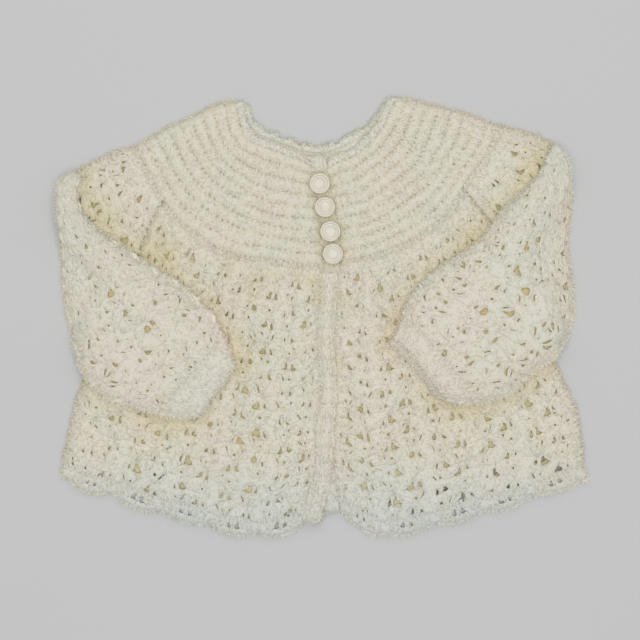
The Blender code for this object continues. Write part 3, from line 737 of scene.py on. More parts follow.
def postsAlong(cloth, u, v, lift=0.0, shape=postShape, sides=4):
    # posts that follow arrays of u and v, one row for each post
    count, steps = u.shape
    slip = dice.normal(0, hand["slip"], (count, 1, 2))
    path = spot(cloth, u, v, shape["middle"] + lift)
    path[..., :2] += slip
    path[..., 2] += dice.normal(0, hand["lift"], (count, 1))
    phase = dice.normal(*hand["turn"], count)
    strands = twisted(path, shape["turns"], shape["spread"], shape["rise"], phase)
    bulge = np.sin(math.pi * np.linspace(0.04, 0.96, steps))
    taper = shape["ends"] + (1 - shape["ends"]) * bulge
    return tubes(strands, shape["radius"] * taper, sides)


# Lace: a row is fans of six legs with a single post between, and beside each post a wide gap and a slit
fanLegs = [
    # top across as a share of the repeat, bow, bulge, how far down the top sits as a share of the row
    (-0.400, 0.36, 0.000, 0.10),
    (-0.250, 0.50, 0.000, 0.02),
    (-0.090, 0.80, -0.030, -0.04),
    (0.080, 0.80, 0.030, -0.04),
    (0.240, 0.40, 0.000, 0.02),
    (0.385, 0.12, 0.000, 0.10),
]
postLeg = (0.0, 1.0, 0.0, 0.02)
legShape = {
    "foot": 1.02,           # how far down a leg starts as a share of the row
    "puff": 0.12,           # mm that its middle stands up
    "head": 0.08,           # half the length of its head as a share of the repeat
    "headDown": 0.05,       # how far under its top that lies as a share of the row
    "headBow": (0.03, -0.02, 0.04),
}
gapShapes = [
    # corners in mm from the post and down from the row's top: the wide gap and the slit
    [(1.4, 6.4), (1.2, 4.6), (1.5, 3.0), (2.4, 2.4), (3.7, 3.2), (4.8, 4.8), (4.9, 6.2), (3.3, 7.0)],
    [(-1.4, 6.2), (-1.2, 4.2), (-1.5, 2.7), (-2.1, 3.0), (-2.8, 4.8), (-2.9, 6.2), (-2.2, 6.6)],
]
# and from a fan's middle
fanDot = [(-0.5, 4.7), (-0.6, 3.9), (0.0, 3.4), (0.6, 3.9), (0.5, 4.7)]
fanSlits = [
    [(-4.8, 1.6), (-4.0, 1.4), (-2.2, 4.4), (-2.7, 4.8)],
    [(4.0, 1.4), (4.8, 1.6), (2.7, 4.8), (2.2, 4.4)],
]
gapVaries = {
    "size": (0.45, 1.35),
    "stretch": 0.1,
    "shift": 0.5,           # mm
    "slits": 0.6,           # share of the slits in the fans that are open
    "margin": 0.02,         # share of the cloth at each end that has none
}


def laceRows(cloth):
    return max(1, round(cloth["tall"] / laceGrid["row"]))


def laceCells(cloth):
    # row, which way it faces, u of the cell's middle, and whether it has a post
    middles = (cloth["marks"][1:] + cloth["marks"][:-1]) / 2
    for row in range(laceRows(cloth)):
        for column, u in enumerate(middles):
            yield row, (1 if row % 2 == 0 else -1), u, (column + row) % 2 == 0


def shown(cloth, u, v, hidden):
    # which spots are outside an outline, and so not under a sleeve
    if hidden is None:
        return np.ones(len(u), bool)
    xy = cloth["place"](u, v)
    return ~insideOutline(xy[:, 0], xy[:, 1], hidden)


def laceStitches(cloth, hidden=None, plain=False):
    # legs and heads of fans and posts; plain ones, for out of sight, are coarser and have no heads
    rows = laceRows(cloth)
    repeat = 2 * float(np.median(np.diff(cloth["marks"])))
    fine = 3 if plain else 4
    s = np.linspace(0, 1, fine)
    foot, half = legShape["foot"], legShape["head"] * repeat
    legsU, legsV, headU, headV = [], [], [], []
    for row, sign, middle, isPost in laceCells(cloth):
        for top, bow, bulge, topDown in [postLeg] if isPost else fanLegs:
            u = middle + sign * repeat * (top * s**bow + bulge * np.sin(math.pi * s))
            if not 0 <= u[-1] <= 1:
                continue
            v = (row + foot + (topDown - foot) * s) / rows
            legsU.append(u)
            legsV.append(v)
            headU.append(np.linspace(u[-1] - half, u[-1] + half, 3))
            headV.append(v[-1] + legShape["headDown"] / rows + np.array(legShape["headBow"]) / rows)
    legsU, legsV, headU, headV = (np.array(found) for found in (legsU, legsV, headU, headV))
    keep = shown(cloth, legsU[:, fine // 2], legsV[:, fine // 2], hidden)
    puff = np.tile(legShape["puff"] * np.sin(math.pi * s), (keep.sum(), 1))
    batches = [postsAlong(cloth, legsU[keep], legsV[keep], puff, sides=fine)]
    if not plain:
        batches.append(postsAlong(cloth, headU[keep], headV[keep], shape=headShape))
    return batches


headShape = {"radius": 0.62, "spread": 0.5, "rise": 0.12, "turns": 0.5, "middle": 1.25, "ends": 0.7}

# Yoke, bands, cuffs and edgings: closed rows of short posts
denseShape = {
    "radius": 1.12, "spread": 0.86, "rise": 0.12, "turns": 0.5, "middle": 1.18, "ends": 0.85,
    "lean": 0.1,            # of a stitch's width
    "reach": (-0.1, 1.1),   # what a stitch covers of its row
    "fray": 0.03,           # share of a row by which it is off its place
}
denseRows = {
    # mm of a row's height and of a stitch's width
    "cuff_top": (3.4, 3.4), "cuff_under": (6.6, 3.4), "sleeve_under": (8.2, 4.6), "yoke_back": (7.7, 6.0),
    "neck_edging": (4.0, 3.2), "buttonhole_band": (9.0, 2.7), "button_band": (6.0, 3.2),
}


def denseStitches(cloth, rowTall, pitch, relief=None, span=denseShape["reach"], fray=denseShape["fray"]):
    rows = max(1, round(cloth["tall"] / rowTall))
    allU, allV = [], []
    for row in range(rows):
        count = max(2, round(spanOf(cloth["place"], True, (row + 0.5) / rows) / pitch))
        start, end = span if row % 2 == 0 else (1 - span[1], 1 - span[0])
        t = np.linspace(start, end, 4)[None, :] + dice.normal(0, fray, (count, 1))
        across = (np.arange(count) + 0.5) / count
        lean = denseShape["lean"] * (1 if row % 2 else -1) / count
        allU.append(across[:, None] + lean * (t - 0.5))
        allV.append((row + t) / rows)
    u, v = np.concatenate(allU), np.concatenate(allV)
    return [postsAlong(cloth, u, v, relief(u, v) if relief else 0.0, shape=denseShape)]


ribShape = {
    "ribs": 9,
    "rise": 1.1,        # mm from groove to crest
    "round": 2.2,
    "groove": 1.0,      # mm that the groove is cut deeper
    "narrow": 7.0,      # the more, the narrower the groove
    "stitch": 3.7,      # mm of its width
    "reach": (0.13, 1.1),   # what a stitch covers of its half of a rib
    "cells": 8,         # of the ground across a rib
}


def ribRelief(u, v):
    across = np.abs(2 * ((v * ribShape["ribs"]) % 1.0) - 1)
    crest = ribShape["rise"] * (1 - across ** ribShape["round"])
    return crest - ribShape["groove"] * across ** ribShape["narrow"]


# Cloth under the stitches, in mm
groundShape = {
    "top": 2.05, "thick": 0.5, "grid": 3.0, "bumpy": 0.06,
    "gapDrop": 0.5,         # by which it comes down round a gap
}


def turnsClockwise(corners):
    following = corners[1:] + corners[:1]
    return sum(ax * by - bx * ay for (ax, ay), (bx, by) in zip(corners, following)) < 0


def groundMesh(cloth, gaps, lift=None, cells=None):
    # a thin closed shell over the cloth's whole patch, with gaps given as corners in u and v
    wide, tall = cloth["wide"], cloth["tall"]
    grid = groundShape["grid"]
    across, down = cells or (max(3, round(wide / grid)), max(3, round(tall / grid)))
    rim = [(k / across, 0) for k in range(across)] + [(1, k / down) for k in range(down)]
    rim += [(1 - k / across, 1) for k in range(across)] + [(0, 1 - k / down) for k in range(down)]
    inner = [((i + 0.5 * (j % 2)) / across, j / down) for j in range(1, down) for i in range(1, across)]
    points = list(rim)
    outlines = [list(range(len(rim)))]
    for gap in gaps:
        outlines.append(list(range(len(points), len(points) + len(gap))))
        points += gap[::-1] if turnsClockwise(gap) else gap
    gapEnd = len(points)
    points += inner
    made = delaunay_2d_cdt([(u * wide, v * tall) for u, v in points], [], outlines, 1, 1e-4)
    spots = np.array(made[0])
    faces = np.array([f for f, o in zip(made[2], made[5]) if not any(k > 0 for k in o)])
    onGap = np.array([any(len(rim) <= k < gapEnd for k in ids) for ids in made[3]])
    u, v = np.clip(spots[:, 0] / wide, 0, 1), np.clip(spots[:, 1] / tall, 0, 1)
    height = groundShape["top"] - groundShape["thick"] - groundShape["gapDrop"] * onGap
    height = height + dice.normal(0, groundShape["bumpy"], len(u)) + (lift(u, v) if lift else 0)
    placed = spot(cloth, u, v, height)
    p, q, r = (placed[faces[:, k], :2] for k in range(3))
    turned = (q - p)[:, 0] * (r - p)[:, 1] - (q - p)[:, 1] * (r - p)[:, 0]
    if turned.sum() < 0:
        faces = faces[:, ::-1]
    count = len(placed)
    top = placed[:, :3] + (0, 0, groundShape["thick"])
    edges = np.concatenate([faces[:, [0, 1]], faces[:, [1, 2]], faces[:, [2, 0]]])
    _, back, counts = np.unique(np.sort(edges, axis=1), axis=0, return_inverse=True, return_counts=True)
    border = edges[counts[back.reshape(-1)] == 1]
    walls = np.stack([border[:, 0], border[:, 1], border[:, 1] + count, border[:, 0] + count], axis=1)
    places = np.concatenate([placed[:, :3], top])
    batch = {
        "places": places, "faces": [faces[:, ::-1], faces + count, walls],
        "depth": (places[:, 2] - np.tile(placed[:, 3], 2)) / np.tile(placed[:, 4], 2) / layers["wall"],
        "yarn": np.tile((1.0, 0.0, 0.0), (len(places), 1)),
    }
    return batch, 0.5 * np.abs(turned).sum()


def resized(shape, size, stretch=1.0):
    # corners of a gap, drawn out from or in to its middle
    corners = np.array(shape)
    heart = corners.mean(axis=0)
    return heart + (corners - heart) * size * stretch


def laceGaps(cloth, hidden=None, firstRow=1, dots=True, size=gapVaries["size"]):
    rows = laceRows(cloth)
    found = []
    for row, sign, middle, isPost in laceCells(cloth):
        if row < firstRow:
            continue
        small = [fanDot] + [slit for slit in fanSlits if dice.uniform() < gapVaries["slits"]] if dots else []
        for shape in gapShapes if isPost else small:
            corners = resized(shape, dice.uniform(*size), dice.normal(1, gapVaries["stretch"], 2))
            corners += dice.normal(0, gapVaries["shift"], 2)
            us = middle + sign * corners[:, 0] / cloth["wide"]
            vs = (row + corners[:, 1] / laceGrid["row"]) / rows
            inside = us.min() >= gapVaries["margin"] and us.max() <= 1 - gapVaries["margin"]
            if inside and shown(cloth, us, vs, hidden).all():
                found.append(list(zip(us, vs)))
    return found


# Posts over the joins and round the edges, in mm
joinShape = {
    "seamPitch": 3.4, "seamSpan": (-2.6, 3.0), "seamLift": 0.25, "seamLoose": 0.25,
    "sidePitch": 3.1, "sidePast": 0.6, "sideInto": 4.6, "sideLoose": 0.3,
    "slant": 0.002,         # share of the edge that a side's post rises for each mm
}


def evenly(count, loose):
    # where along an edge its posts stand, as shares of it, for all four points of each
    return np.tile((np.arange(count) + dice.normal(0.5, loose, count))[:, None] / count, (1, 4))


def seamPosts(cloth):
    # posts over the join with the row before, with a small hole between each two
    count = round(cloth["wide"] / joinShape["seamPitch"])
    u = evenly(count, 0.08)
    along = np.linspace(*joinShape["seamSpan"], 4) + dice.normal(0, joinShape["seamLoose"], (count, 1))
    return postsAlong(cloth, u, along / cloth["tall"], joinShape["seamLift"])


def sidePosts(cloth, sides, hidden=None, past=joinShape["sidePast"]):
    # short posts across the edges at u = 0 or 1
    count = round(cloth["tall"] / joinShape["sidePitch"])
    v = evenly(count, 0.1)
    across = np.linspace(-past, joinShape["sideInto"], 4)
    found = []
    for side in sides:
        into = across + dice.normal(0, joinShape["sideLoose"], (count, 1))
        u = np.abs(side - into / cloth["wide"]) if side else into / cloth["wide"]
        keep = shown(cloth, np.clip(u[:, 1], 0, 1), v[:, 1], hidden)
        found.append(postsAlong(cloth, u[keep], v[keep] + into[keep] * joinShape["slant"]))
    return found


def sleeveOutline(side):
    return np.concatenate([lines["overarm" + side], lines["underarm" + side][::-1]])


# Hem: shells round a post, with a gap on each side of it
hemLegs = [
    # mm from the scallop's middle at the top and at the foot
    (0.0, 0.0), (3.0, 6.0), (6.4, 8.4), (9.8, 10.6), (13.0, 13.0), (-3.0, -6.0), (-6.4, -8.4), (-9.8, -10.6),
]
hemGaps = [
    [(1.2, 5.0), (1.1, 2.2), (1.8, 0.9), (3.1, 1.6), (4.8, 3.6), (5.1, 5.0), (2.8, 5.7)],
    [(-1.2, 5.3), (-1.1, 2.2), (-1.7, 1.1), (-2.7, 2.2), (-3.9, 4.4), (-3.4, 5.6), (-2.2, 5.8)],
]
hemShape = {
    "bow": 0.8,             # the less, the sooner a leg runs out sideways
    "legs": (-0.2, 0.64),   # shares of the hem's depth where they start and end
    "edge": (0.6, 0.98),    # and the posts along its edge
    "edgePitch": 3.2, "edgeLoose": 0.02,
    "lift": 0.2,            # mm
    "gaps": (0.45, 1.0),    # their sizes
    "margin": 0.01,
}


def hemStitches(cloth):
    s = np.linspace(0, 1, 4)
    u = np.array([middle + (top + (foot - top) * s ** hemShape["bow"]) / cloth["wide"]
                  for middle, _ in cloth["scallops"] for top, foot in hemLegs])
    u = u[(u[:, 0] > 0) & (u[:, 0] < 1)]
    v = np.tile(np.linspace(*hemShape["legs"], 4), (len(u), 1))
    count = round(cloth["wide"] / hemShape["edgePitch"])
    edgeU = np.tile(((np.arange(count) + 0.5) / count)[:, None], (1, 4))
    edgeV = np.linspace(*hemShape["edge"], 4) + dice.normal(0, hemShape["edgeLoose"], (count, 1))
    return [postsAlong(cloth, u, v, hemShape["lift"]), postsAlong(cloth, edgeU, edgeV, hemShape["lift"])]


def hemHoles(cloth):
    found = []
    for middle, sign in cloth["scallops"]:
        for shape in hemGaps:
            corners = resized(shape, dice.uniform(*hemShape["gaps"]))
            us, vs = middle + sign * corners[:, 0] / cloth["wide"], corners[:, 1] / layers["hemDeep"]
            if us.min() > hemShape["margin"] and us.max() < 1 - hemShape["margin"]:
                found.append(list(zip(us, vs)))
    return found


# Materials
yarnLook = {
    "cream": (0.768, 0.731, 0.624),
    "warm": (0.779, 0.729, 0.634),      # patches where the cloth looks pinker
    "cool": (0.757, 0.735, 0.635),      # and where it looks greener
    "patch": 38.0,                      # patches to a metre
    "patchStops": (0.38, 0.5, 0.62),    # of the pattern, for cool, cream and warm
    "deep": (0.92, 0.81, 0.46),         # painted shade, olive, down between the stitches
    "from": 0.36, "to": 0.78,           # depth in the cloth over which that changes
    "paintedShade": (0.925, 0.88, 0.70),         # painted shade: what a hollow, a sleeve's side or a button's rim leaves of the colour
    "thin": (0.92, 0.98, 1.06),         # painted light: the pale floor's light through a single layer, towards the hem
    "thinFrom": -0.07, "thinTo": -0.125,
    "flecks": 950.0,                    # fine flecks to a metre, and what they do to the colour
    "fleckDark": (0.80, 0.77, 0.64),
    "fleckLight": (1.03, 1.03, 1.05),
    "fleckStops": (0.34, 0.46, 0.66),   # of the pattern, for dark, none and light
    "paintedEdgeLight": (1.22, 1.22, 1.22),        # painted light: free edges paler, as where light comes through the tufts
    "paintedEdgeLightFrom": 3.2,                   # depth past which that starts
    "plies": 2.0, "twist": 2.4,         # of the yarn, in radians to a mm
    "plyHigh": 0.18,                    # their height over that of the fibres
    "fibres": 1500.0,                   # to a metre
    "bump": 0.5, "bumpHigh": 0.0003,
    "roughness": 0.95,
    "gloss": 0.1,
    "sheen": 0.2, "sheenRoughness": 0.6,
}


def newMaterial(name):
    material = bpy.data.materials.new(name)
    material.use_nodes = True
    return material, material.node_tree, material.node_tree.nodes["Principled BSDF"]


def feed(tree, made, inputs):
    # gives a node's inputs their values, or links them to the outputs of others
    for key, value in inputs.items():
        socket = made.inputs[key]
        if isinstance(value, bpy.types.NodeSocket):
            tree.links.new(value, socket)
        else:
            socket.default_value = (*value, 1) if socket.type == "RGBA" else value


def node(tree, kind, x, y, inputs, **settings):
    made = tree.nodes.new("ShaderNode" + kind)
    made.location = (x, y)
    for key, value in settings.items():
        setattr(made, key, value)
    feed(tree, made, inputs)
    return made.outputs


def noise(tree, x, y, place, scale, detail, distortion=0.0):
    inputs = {"Vector": place, "Scale": scale, "Detail": detail, "Distortion": distortion}
    return node(tree, "TexNoise", x, y, inputs)["Fac"]


def ramp(tree, x, y, factor, stops, colors):
    made = tree.nodes.new("ShaderNodeValToRGB")
    made.location = (x, y)
    elements = made.color_ramp.elements
    if len(stops) == 3:
        elements.new(0.5)
    for element, stop, color in zip(elements, stops, colors):
        element.position = stop
        element.color = (*color, 1)
    feed(tree, made, {"Fac": factor})
    return made.outputs["Color"]


def ranged(tree, x, y, value, start, end):
    # 0 to 1 between two values, smoothly
    inputs = {"Value": value, "From Min": start, "From Max": end}
    return node(tree, "MapRange", x, y, inputs, interpolation_type="SMOOTHSTEP")["Result"]


def mixed(tree, x, y, factor, first, second, blend="MULTIPLY"):
    inputs = {"Factor": factor, "A": first, "B": second}
    return node(tree, "Mix", x, y, inputs, data_type="RGBA", blend_type=blend)["Result"]


def maths(tree, x, y, operation, *values):
    return node(tree, "Math", x, y, dict(enumerate(values)), operation=operation)["Value"]


def yarnMaterial(name, **changes):
    look = {**yarnLook, **changes}
    material, tree, shader = newMaterial(name)
    place = node(tree, "TexCoord", -1400, 200, {})["Object"]
    depth = node(tree, "Attribute", -1200, 0, {}, attribute_name="depth")["Fac"]
    paintedShade = node(tree, "Attribute", -700, -50, {}, attribute_name="paintedShade")["Fac"]
    north = node(tree, "SeparateXYZ", -1000, 550, {"Vector": place})["Y"]
    tint = ramp(tree, -1000, 300, noise(tree, -1200, 300, place, look["patch"], 2.0),
                look["patchStops"], (look["cool"], look["cream"], look["warm"]))
    flecks = ramp(tree, -700, 850, noise(tree, -900, 850, place, look["flecks"], 3.0, 1.5),
                  look["fleckStops"], (look["fleckDark"], (1, 1, 1), look["fleckLight"]))
    # painted shade: deeper in the cloth the colour turns to the olive deep colour
    creviceShadeMask = ranged(tree, -1000, 0, depth, look["from"], look["to"])
    # painted floor light, which grows towards the hem
    low = ranged(tree, -800, 550, north, look["thinFrom"], look["thinTo"])
    # painted edge light at free edges and their tufts
    rim = ranged(tree, -450, -100, depth, look["paintedEdgeLightFrom"], 1 + hand["edgePale"])
    color = mixed(tree, -800, 200, creviceShadeMask, look["deep"], tint, "MIX")
    color = mixed(tree, -600, 400, low, color, look["thin"])
    # painted shade in hollows, beside the sleeves and round the buttons
    color = mixed(tree, -450, 200, paintedShade, color, look["paintedShade"])
    color = mixed(tree, -250, 300, 1.0, color, flecks)
    color = mixed(tree, -200, 100, rim, color, look["paintedEdgeLight"])
    yarn = node(tree, "Attribute", -1400, -300, {}, attribute_name="yarn")["Vector"]
    strand = node(tree, "SeparateXYZ", -1200, -300, {"Vector": yarn})
    around = maths(tree, -1000, -300, "ARCTAN2", strand["Y"], strand["X"])
    turned = maths(tree, -1000, -450, "MULTIPLY", strand["Z"], look["twist"])
    ply = maths(tree, -640, -350, "SINE",
                maths(tree, -800, -350, "MULTIPLY_ADD", around, look["plies"], turned))
    fibre = noise(tree, -1000, -650, place, look["fibres"], 4.0)
    height = maths(tree, -480, -450, "MULTIPLY_ADD", ply, look["plyHigh"], fibre)
    bump = node(tree, "Bump", -300, -400,
                {"Height": height, "Strength": look["bump"], "Distance": look["bumpHigh"]})
    feed(tree, shader, {
        "Base Color": color, "Normal": bump["Normal"], "Roughness": look["roughness"],
        "Specular IOR Level": look["gloss"], "Sheen Weight": look["sheen"],
        "Sheen Roughness": look["sheenRoughness"],
    })
    return material


laceYarn = yarnMaterial("yarnLace")
ribYarn = yarnMaterial("yarnRib", cream=(0.760, 0.724, 0.604), warm=(0.770, 0.719, 0.615),
                       cool=(0.744, 0.729, 0.621), deep=(0.78, 0.70, 0.43), fleckDark=(0.84, 0.80, 0.68))
sleeveYarn = yarnMaterial("yarnSleeve", cream=(0.760, 0.724, 0.620), warm=(0.771, 0.718, 0.630),
                          cool=(0.744, 0.730, 0.636), fleckDark=(0.88, 0.85, 0.75))
bandYarn = yarnMaterial("yarnBand", cream=(0.785, 0.750, 0.640), warm=(0.795, 0.748, 0.648),
                        cool=(0.775, 0.755, 0.652), thin=(0.94, 0.97, 1.02))
# shaded copies for the layers underneath: darker colour and darker painted shade, as the top layers shade
# them
backYarnShaded = yarnMaterial("yarnBackShaded", cream=(0.70, 0.65, 0.50), deep=(0.70, 0.62, 0.34), thin=(1.2, 1.3, 1.7))
innerYarnShaded = yarnMaterial("yarnInnerShaded", deep=(0.67, 0.575, 0.31))
edgeYarn = yarnMaterial("yarnEdge", cream=(0.765, 0.742, 0.648), warm=(0.775, 0.738, 0.654),
                        cool=(0.755, 0.748, 0.660))
shadeYarn = yarnMaterial("yarnUnder", cream=(0.75, 0.75, 0.665), warm=(0.72, 0.71, 0.60),
                         cool=(0.74, 0.755, 0.69), deep=(0.50, 0.45, 0.27), **{"from": 0.40, "to": 0.85})
print("materials made")


sheetLeast = 10.0  # mm, the least side given to a sheet's flat size


def makeCloth(name, gaps, batches, restsOn=(), lift=None, cells=None, material=laceYarn, fluff=1.0,
              sunkShade=1.0, paintedShade=False, frayed=None):
    # the ground and the stitches of one cloth piece, which stand for its node
    cloth = cloths[name]
    ground, area = groundMesh(cloth, gaps, lift, cells)
    under = makeMesh(name + "_ground", [ground], material, sunkShade, paintedShade)
    count = area * fluffLook["dense"] * fluff
    total = sum(len(b["places"]) for b in batches)
    grown = [hairsOn(b, int(count * len(b["places"]) / total)) for b in batches if count]
    if frayed is None:
        frayed = [side for side, share in enumerate(cloth.get("drops", ())) if share]
    grown += edgeHairs(cloth, frayed)
    over = makeMesh(name + "_stitches", batches + grown, material, sunkShade, paintedShade)
    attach(under, "root")
    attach(over, "root")
    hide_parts(name)
    wide, tall = (max(sheetLeast, *(spanOf(cloth["place"], along, t) for t in (0, 0.5, 1))) * mm
                  for along in (True, False))


freeEdges = {
    # share of its thickness that a piece loses at its edges u = 0, u = 1, v = 0 and v = 1, and how much
    # lower it lies there, in mm times that share
    "front": (0, 0.5, 0, 0, 2.4),
    "yoke": (0, 0.5, 0, 0, 2.4),
    "sleeve_head_front": (0, 0.5, 0, 0, 2.4),
    "hem_front": (0, 0.5, 0, 0.45, 2.4),
    "neck_edging": (0, 0, 0, 0.4, 0),
    "sleeve_top": (0.7, 0.7, 0.3, 0, 1.2),
    "cuff_top": (0.7, 0.7, 0, 0.45, 1.2),
    "sleeve_under": (0.5, 0.5, 0, 0, 0),
    "cuff_under": (0.5, 0.5, 0, 0.4, 0),
    "sleeve_head_back": (0, 0.6, 0, 0, 0),
    "back": (0.6, 0.6, 0, 0, 0),
    "yoke_back": (0.6, 0.6, 0, 0, 0),
    "hem_back": (0.6, 0.6, 0, 0.55, 0),
    "buttonhole_band": (0.5, 0.5, 0, 0.4, 0),
    "button_band": (0.6, 0.6, 0, 0, 0),
}
for kind, (*drops, tuck) in freeEdges.items():
    for name in {kind, kind + "_right", kind + "_left"} & set(cloths):
        cloths[name].update(drops=drops, tuck=tuck)

for side in ("Right", "Left"):
    low = side.lower()
    hidden = sleeveOutline(side)
    front, head, top, yoke, cuff, hem, trim = (cloths[kind + "_" + low] for kind in (
        "front", "sleeve_head_front", "sleeve_top", "yoke", "cuff_top", "hem_front", "neck_edging"))
    makeCloth(front["name"], laceGaps(front, hidden),
              laceStitches(front, hidden) + [seamPosts(front)] + sidePosts(front, (0,), past=1.4)
              + sidePosts(front, (1,), hidden, past=1.6),
              restsOn=["back"], paintedShade=True)
    makeCloth(head["name"], laceGaps(head),
              laceStitches(head) + [seamPosts(head)] + sidePosts(head, (0, 1), past=1.2),
              restsOn=["sleeve_head_back_" + low], paintedShade=True)
    makeCloth(top["name"], laceGaps(top, size=mouths[side]["gaps"]),
              laceStitches(top) + sidePosts(top, (0, 1)),
              restsOn=["sleeve_under_" + low], material=sleeveYarn)
    halfRib = yoke["tall"] / ribShape["ribs"] / 2
    makeCloth(yoke["name"], [],
              denseStitches(yoke, halfRib, ribShape["stitch"], ribRelief, ribShape["reach"])
              + sidePosts(yoke, (0,), past=1.4),
              restsOn=["yoke_back"], lift=ribRelief, material=ribYarn, fluff=0.55, paintedShade=True,
              cells=(round(yoke["wide"] / groundShape["grid"]), ribShape["ribs"] * ribShape["cells"]))
    makeCloth(cuff["name"], [], denseStitches(cuff, *denseRows["cuff_top"]) + [seamPosts(cuff)],
              restsOn=["cuff_under_" + low], material=sleeveYarn, fluff=0.7)
    makeCloth(hem["name"], hemHoles(hem), hemStitches(hem) + [seamPosts(hem)], restsOn=["hem_back"],
              fluff=0.8)
    makeCloth(trim["name"], [],
              denseStitches(trim, *denseRows["neck_edging"], span=(-0.1, 1.2), fray=0.08) + [seamPosts(trim)],
              restsOn=["neck_edging_back"], material=edgeYarn)
band = cloths["buttonhole_band"]
makeCloth("buttonhole_band", [],
          denseStitches(band, *denseRows["buttonhole_band"]) + sidePosts(band, (0,), past=2.4)
          + sidePosts(band, (1,), past=1.2),
          restsOn=["button_band"], material=bandYarn, paintedShade=True, frayed=(3,))
print("fronts, yoke and sleeves crocheted")

for name in ("back", "sleeve_head_back_right", "sleeve_head_back_left"):
    cloth = cloths[name]
    makeCloth(name, laceGaps(cloth, firstRow=laceRows(cloth) - 2, dots=False),
              laceStitches(cloth, plain=True), material=backYarnShaded, fluff=0.0, sunkShade=0.25)
makeCloth("yoke_back", [], denseStitches(cloths["yoke_back"], *denseRows["yoke_back"]), fluff=0.1)
makeCloth("hem_back", [], hemStitches(cloths["hem_back"]), fluff=0.3)
makeCloth("neck_edging_back", [],
          denseStitches(cloths["neck_edging_back"], *denseRows["neck_edging"], span=(-0.1, 1.3), fray=0.12),
          material=shadeYarn, fluff=3.0, frayed=(3,))
makeCloth("button_band", [], denseStitches(cloths["button_band"], *denseRows["button_band"]),
          restsOn=["back"], fluff=0.3, frayed=())
for side in ("right", "left"):
    for kind, looks in (("sleeve_under", {"material": innerYarnShaded, "fluff": 0.0, "sunkShade": 0.3}),
                        ("cuff_under", {"fluff": 0.4, "sunkShade": 0.7})):
        name = kind + "_" + side
        makeCloth(name, [], denseStitches(cloths[name], *denseRows[kind]), restsOn=["front_" + side],
                  **looks)
print("back and under layers crocheted")


# Buttons
buttonShape = {
    "width": 12.0, "thick": 2.6,
    "steps": [
        # from the rim inwards: mm of inset, then mm up or down
        (1.0, 0), (0.3, -0.9), (0.9, 0), (0.2, 0.35), (0.5, 0), (0.2, -0.35), (1.0, -0.1),
    ],
    "round": 0.3,
    "dark": (0.70, 0.66, 0.55), "pale": (0.76, 0.72, 0.62),     # clouds in the plastic
    "clouds": 180.0,                                            # to a metre
    "roughness": 0.32,
    "through": 0.2,                                             # share of light that enters it
}


def topFace(made):
    # the inmost level face of the top, selected alone; edit mode is left open
    bpy.ops.object.mode_set(mode="OBJECT")
    for part in (made.data.vertices, made.data.edges, made.data.polygons):
        part.foreach_set("select", np.zeros(len(part), bool))
    level = [p for p in made.data.polygons if p.normal.z > 0.99]
    inner = min(level, key=lambda p: (round(p.center.xy.length * 1e5), p.area))
    inner.select = True
    bpy.ops.object.mode_set(mode="EDIT")


def modelButton():
    shape = buttonShape
    bpy.ops.mesh.primitive_cylinder_add(vertices=48, radius=shape["width"] / 2 * mm,
                                        depth=shape["thick"] * mm)
    made = bpy.context.object
    made.name = "button_moulded"
    bpy.ops.object.mode_set(mode="EDIT")
    bpy.ops.mesh.select_mode(type="FACE")
    for inset, sink in shape["steps"]:
        topFace(made)
        bpy.ops.mesh.inset(thickness=inset * mm, depth=0)
        if sink:
            bpy.ops.transform.translate(value=(0, 0, sink * mm))
    bpy.ops.object.mode_set(mode="OBJECT")
    bevel = made.modifiers.new("softEdges", "BEVEL")
    bevel.width = shape["round"] * mm
    bevel.segments = 3
    bevel.limit_method = "ANGLE"
    bevel.angle_limit = math.radians(25)
    bpy.ops.object.modifier_apply(modifier=bevel.name)
    bpy.ops.object.shade_smooth_by_angle(angle=math.radians(40))
    made.data.materials.append(buttonPlastic)
    made.select_set(False)
    return made


def sewOn(model, number, x, y, tiltX, tiltY):
    # a copy of the button in its place on the band
    name = "button_" + str(number)
    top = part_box(name)[1][2]
    made = model.copy()
    made.data = model.data.copy()
    made.name = "button_moulded_" + str(number)
    bpy.context.scene.collection.objects.link(made)
    made.rotation_euler = (math.radians(tiltX), math.radians(tiltY), 0)
    made.location = (x * mm, y * mm, top - buttonShape["thick"] / 2 * mm)
    bpy.context.view_layer.objects.active = made
    made.select_set(True)
    bpy.ops.object.transform_apply(location=True, rotation=True, scale=True)
    made.select_set(False)
    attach(made, "root")
    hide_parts(name)


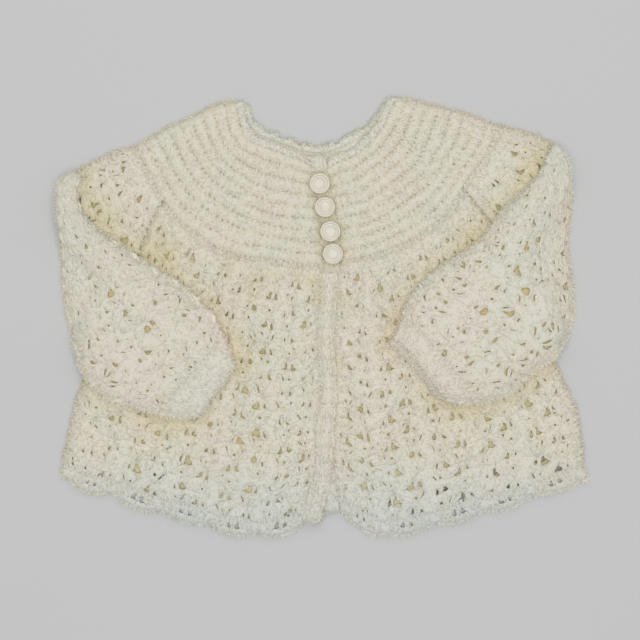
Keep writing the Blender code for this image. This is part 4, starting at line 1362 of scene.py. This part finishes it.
def buttonMaterial():
    material, tree, shader = newMaterial("mouldedOffWhite")
    place = node(tree, "TexCoord", -900, 0, {})["Object"]
    clouds = noise(tree, -700, 0, place, buttonShape["clouds"], 3.0)
    feed(tree, shader, {
        "Base Color": ramp(tree, -500, 0, clouds, (0.35, 0.7), (buttonShape["dark"], buttonShape["pale"])),
        "Roughness": buttonShape["roughness"], "Subsurface Weight": buttonShape["through"],
        "Subsurface Radius": (1.0, 0.95, 0.85), "Subsurface Scale": 0.001,
    })
    return material


buttonPlastic = buttonMaterial()
button = modelButton()
for number, row in enumerate(buttonPlaces, 1):
    sewOn(button, number, *row)
bpy.data.objects.remove(button)
print("buttons moulded")


# Floor and light
studio = {
    "floor": (0.613, 0.613, 0.615),
    "floorWide": 12, "floorDown": 0.0002,   # metres
    "floorRoughness": 0.8, "floorGloss": 0.2,
    "sky": 0.36,
    "bounces": 12, "softBounces": 8,
    "lamps": [
        # place, size in metres, watts: a broad one behind the camera, and one past the neck
        ((0.0, -0.15, 2.4), 2.2, 32.5),
        ((0.05, 1.0, 1.3), 1.0, 3.2),
    ],
}


def makeStudio():
    bpy.ops.mesh.primitive_plane_add(size=studio["floorWide"], location=(0, 0, -studio["floorDown"]))
    floor = bpy.context.object
    floor.name = "floor"
    material, tree, shader = newMaterial("floorPaper")
    feed(tree, shader, {"Base Color": studio["floor"], "Roughness": studio["floorRoughness"],
                        "Specular IOR Level": studio["floorGloss"]})
    floor.data.materials.append(material)
    world = bpy.data.worlds.new("softRoom")
    world.use_nodes = True
    background = world.node_tree.nodes["Background"]
    background.inputs["Color"].default_value = (1, 1, 1, 1)
    background.inputs["Strength"].default_value = studio["sky"]
    bpy.context.scene.world = world
    for place, size, power in studio["lamps"]:
        bpy.ops.object.light_add(type="AREA", location=place)
        lamp = bpy.context.object
        lamp.data.energy = power
        lamp.data.shape = "DISK"
        lamp.data.size = size
        lamp.rotation_euler = Vector(place).to_track_quat("Z", "Y").to_euler()
    bpy.context.scene.view_settings.view_transform = "Standard"
    bpy.context.scene.cycles.max_bounces = studio["bounces"]
    bpy.context.scene.cycles.diffuse_bounces = studio["softBounces"]


makeStudio()
print("studio set")
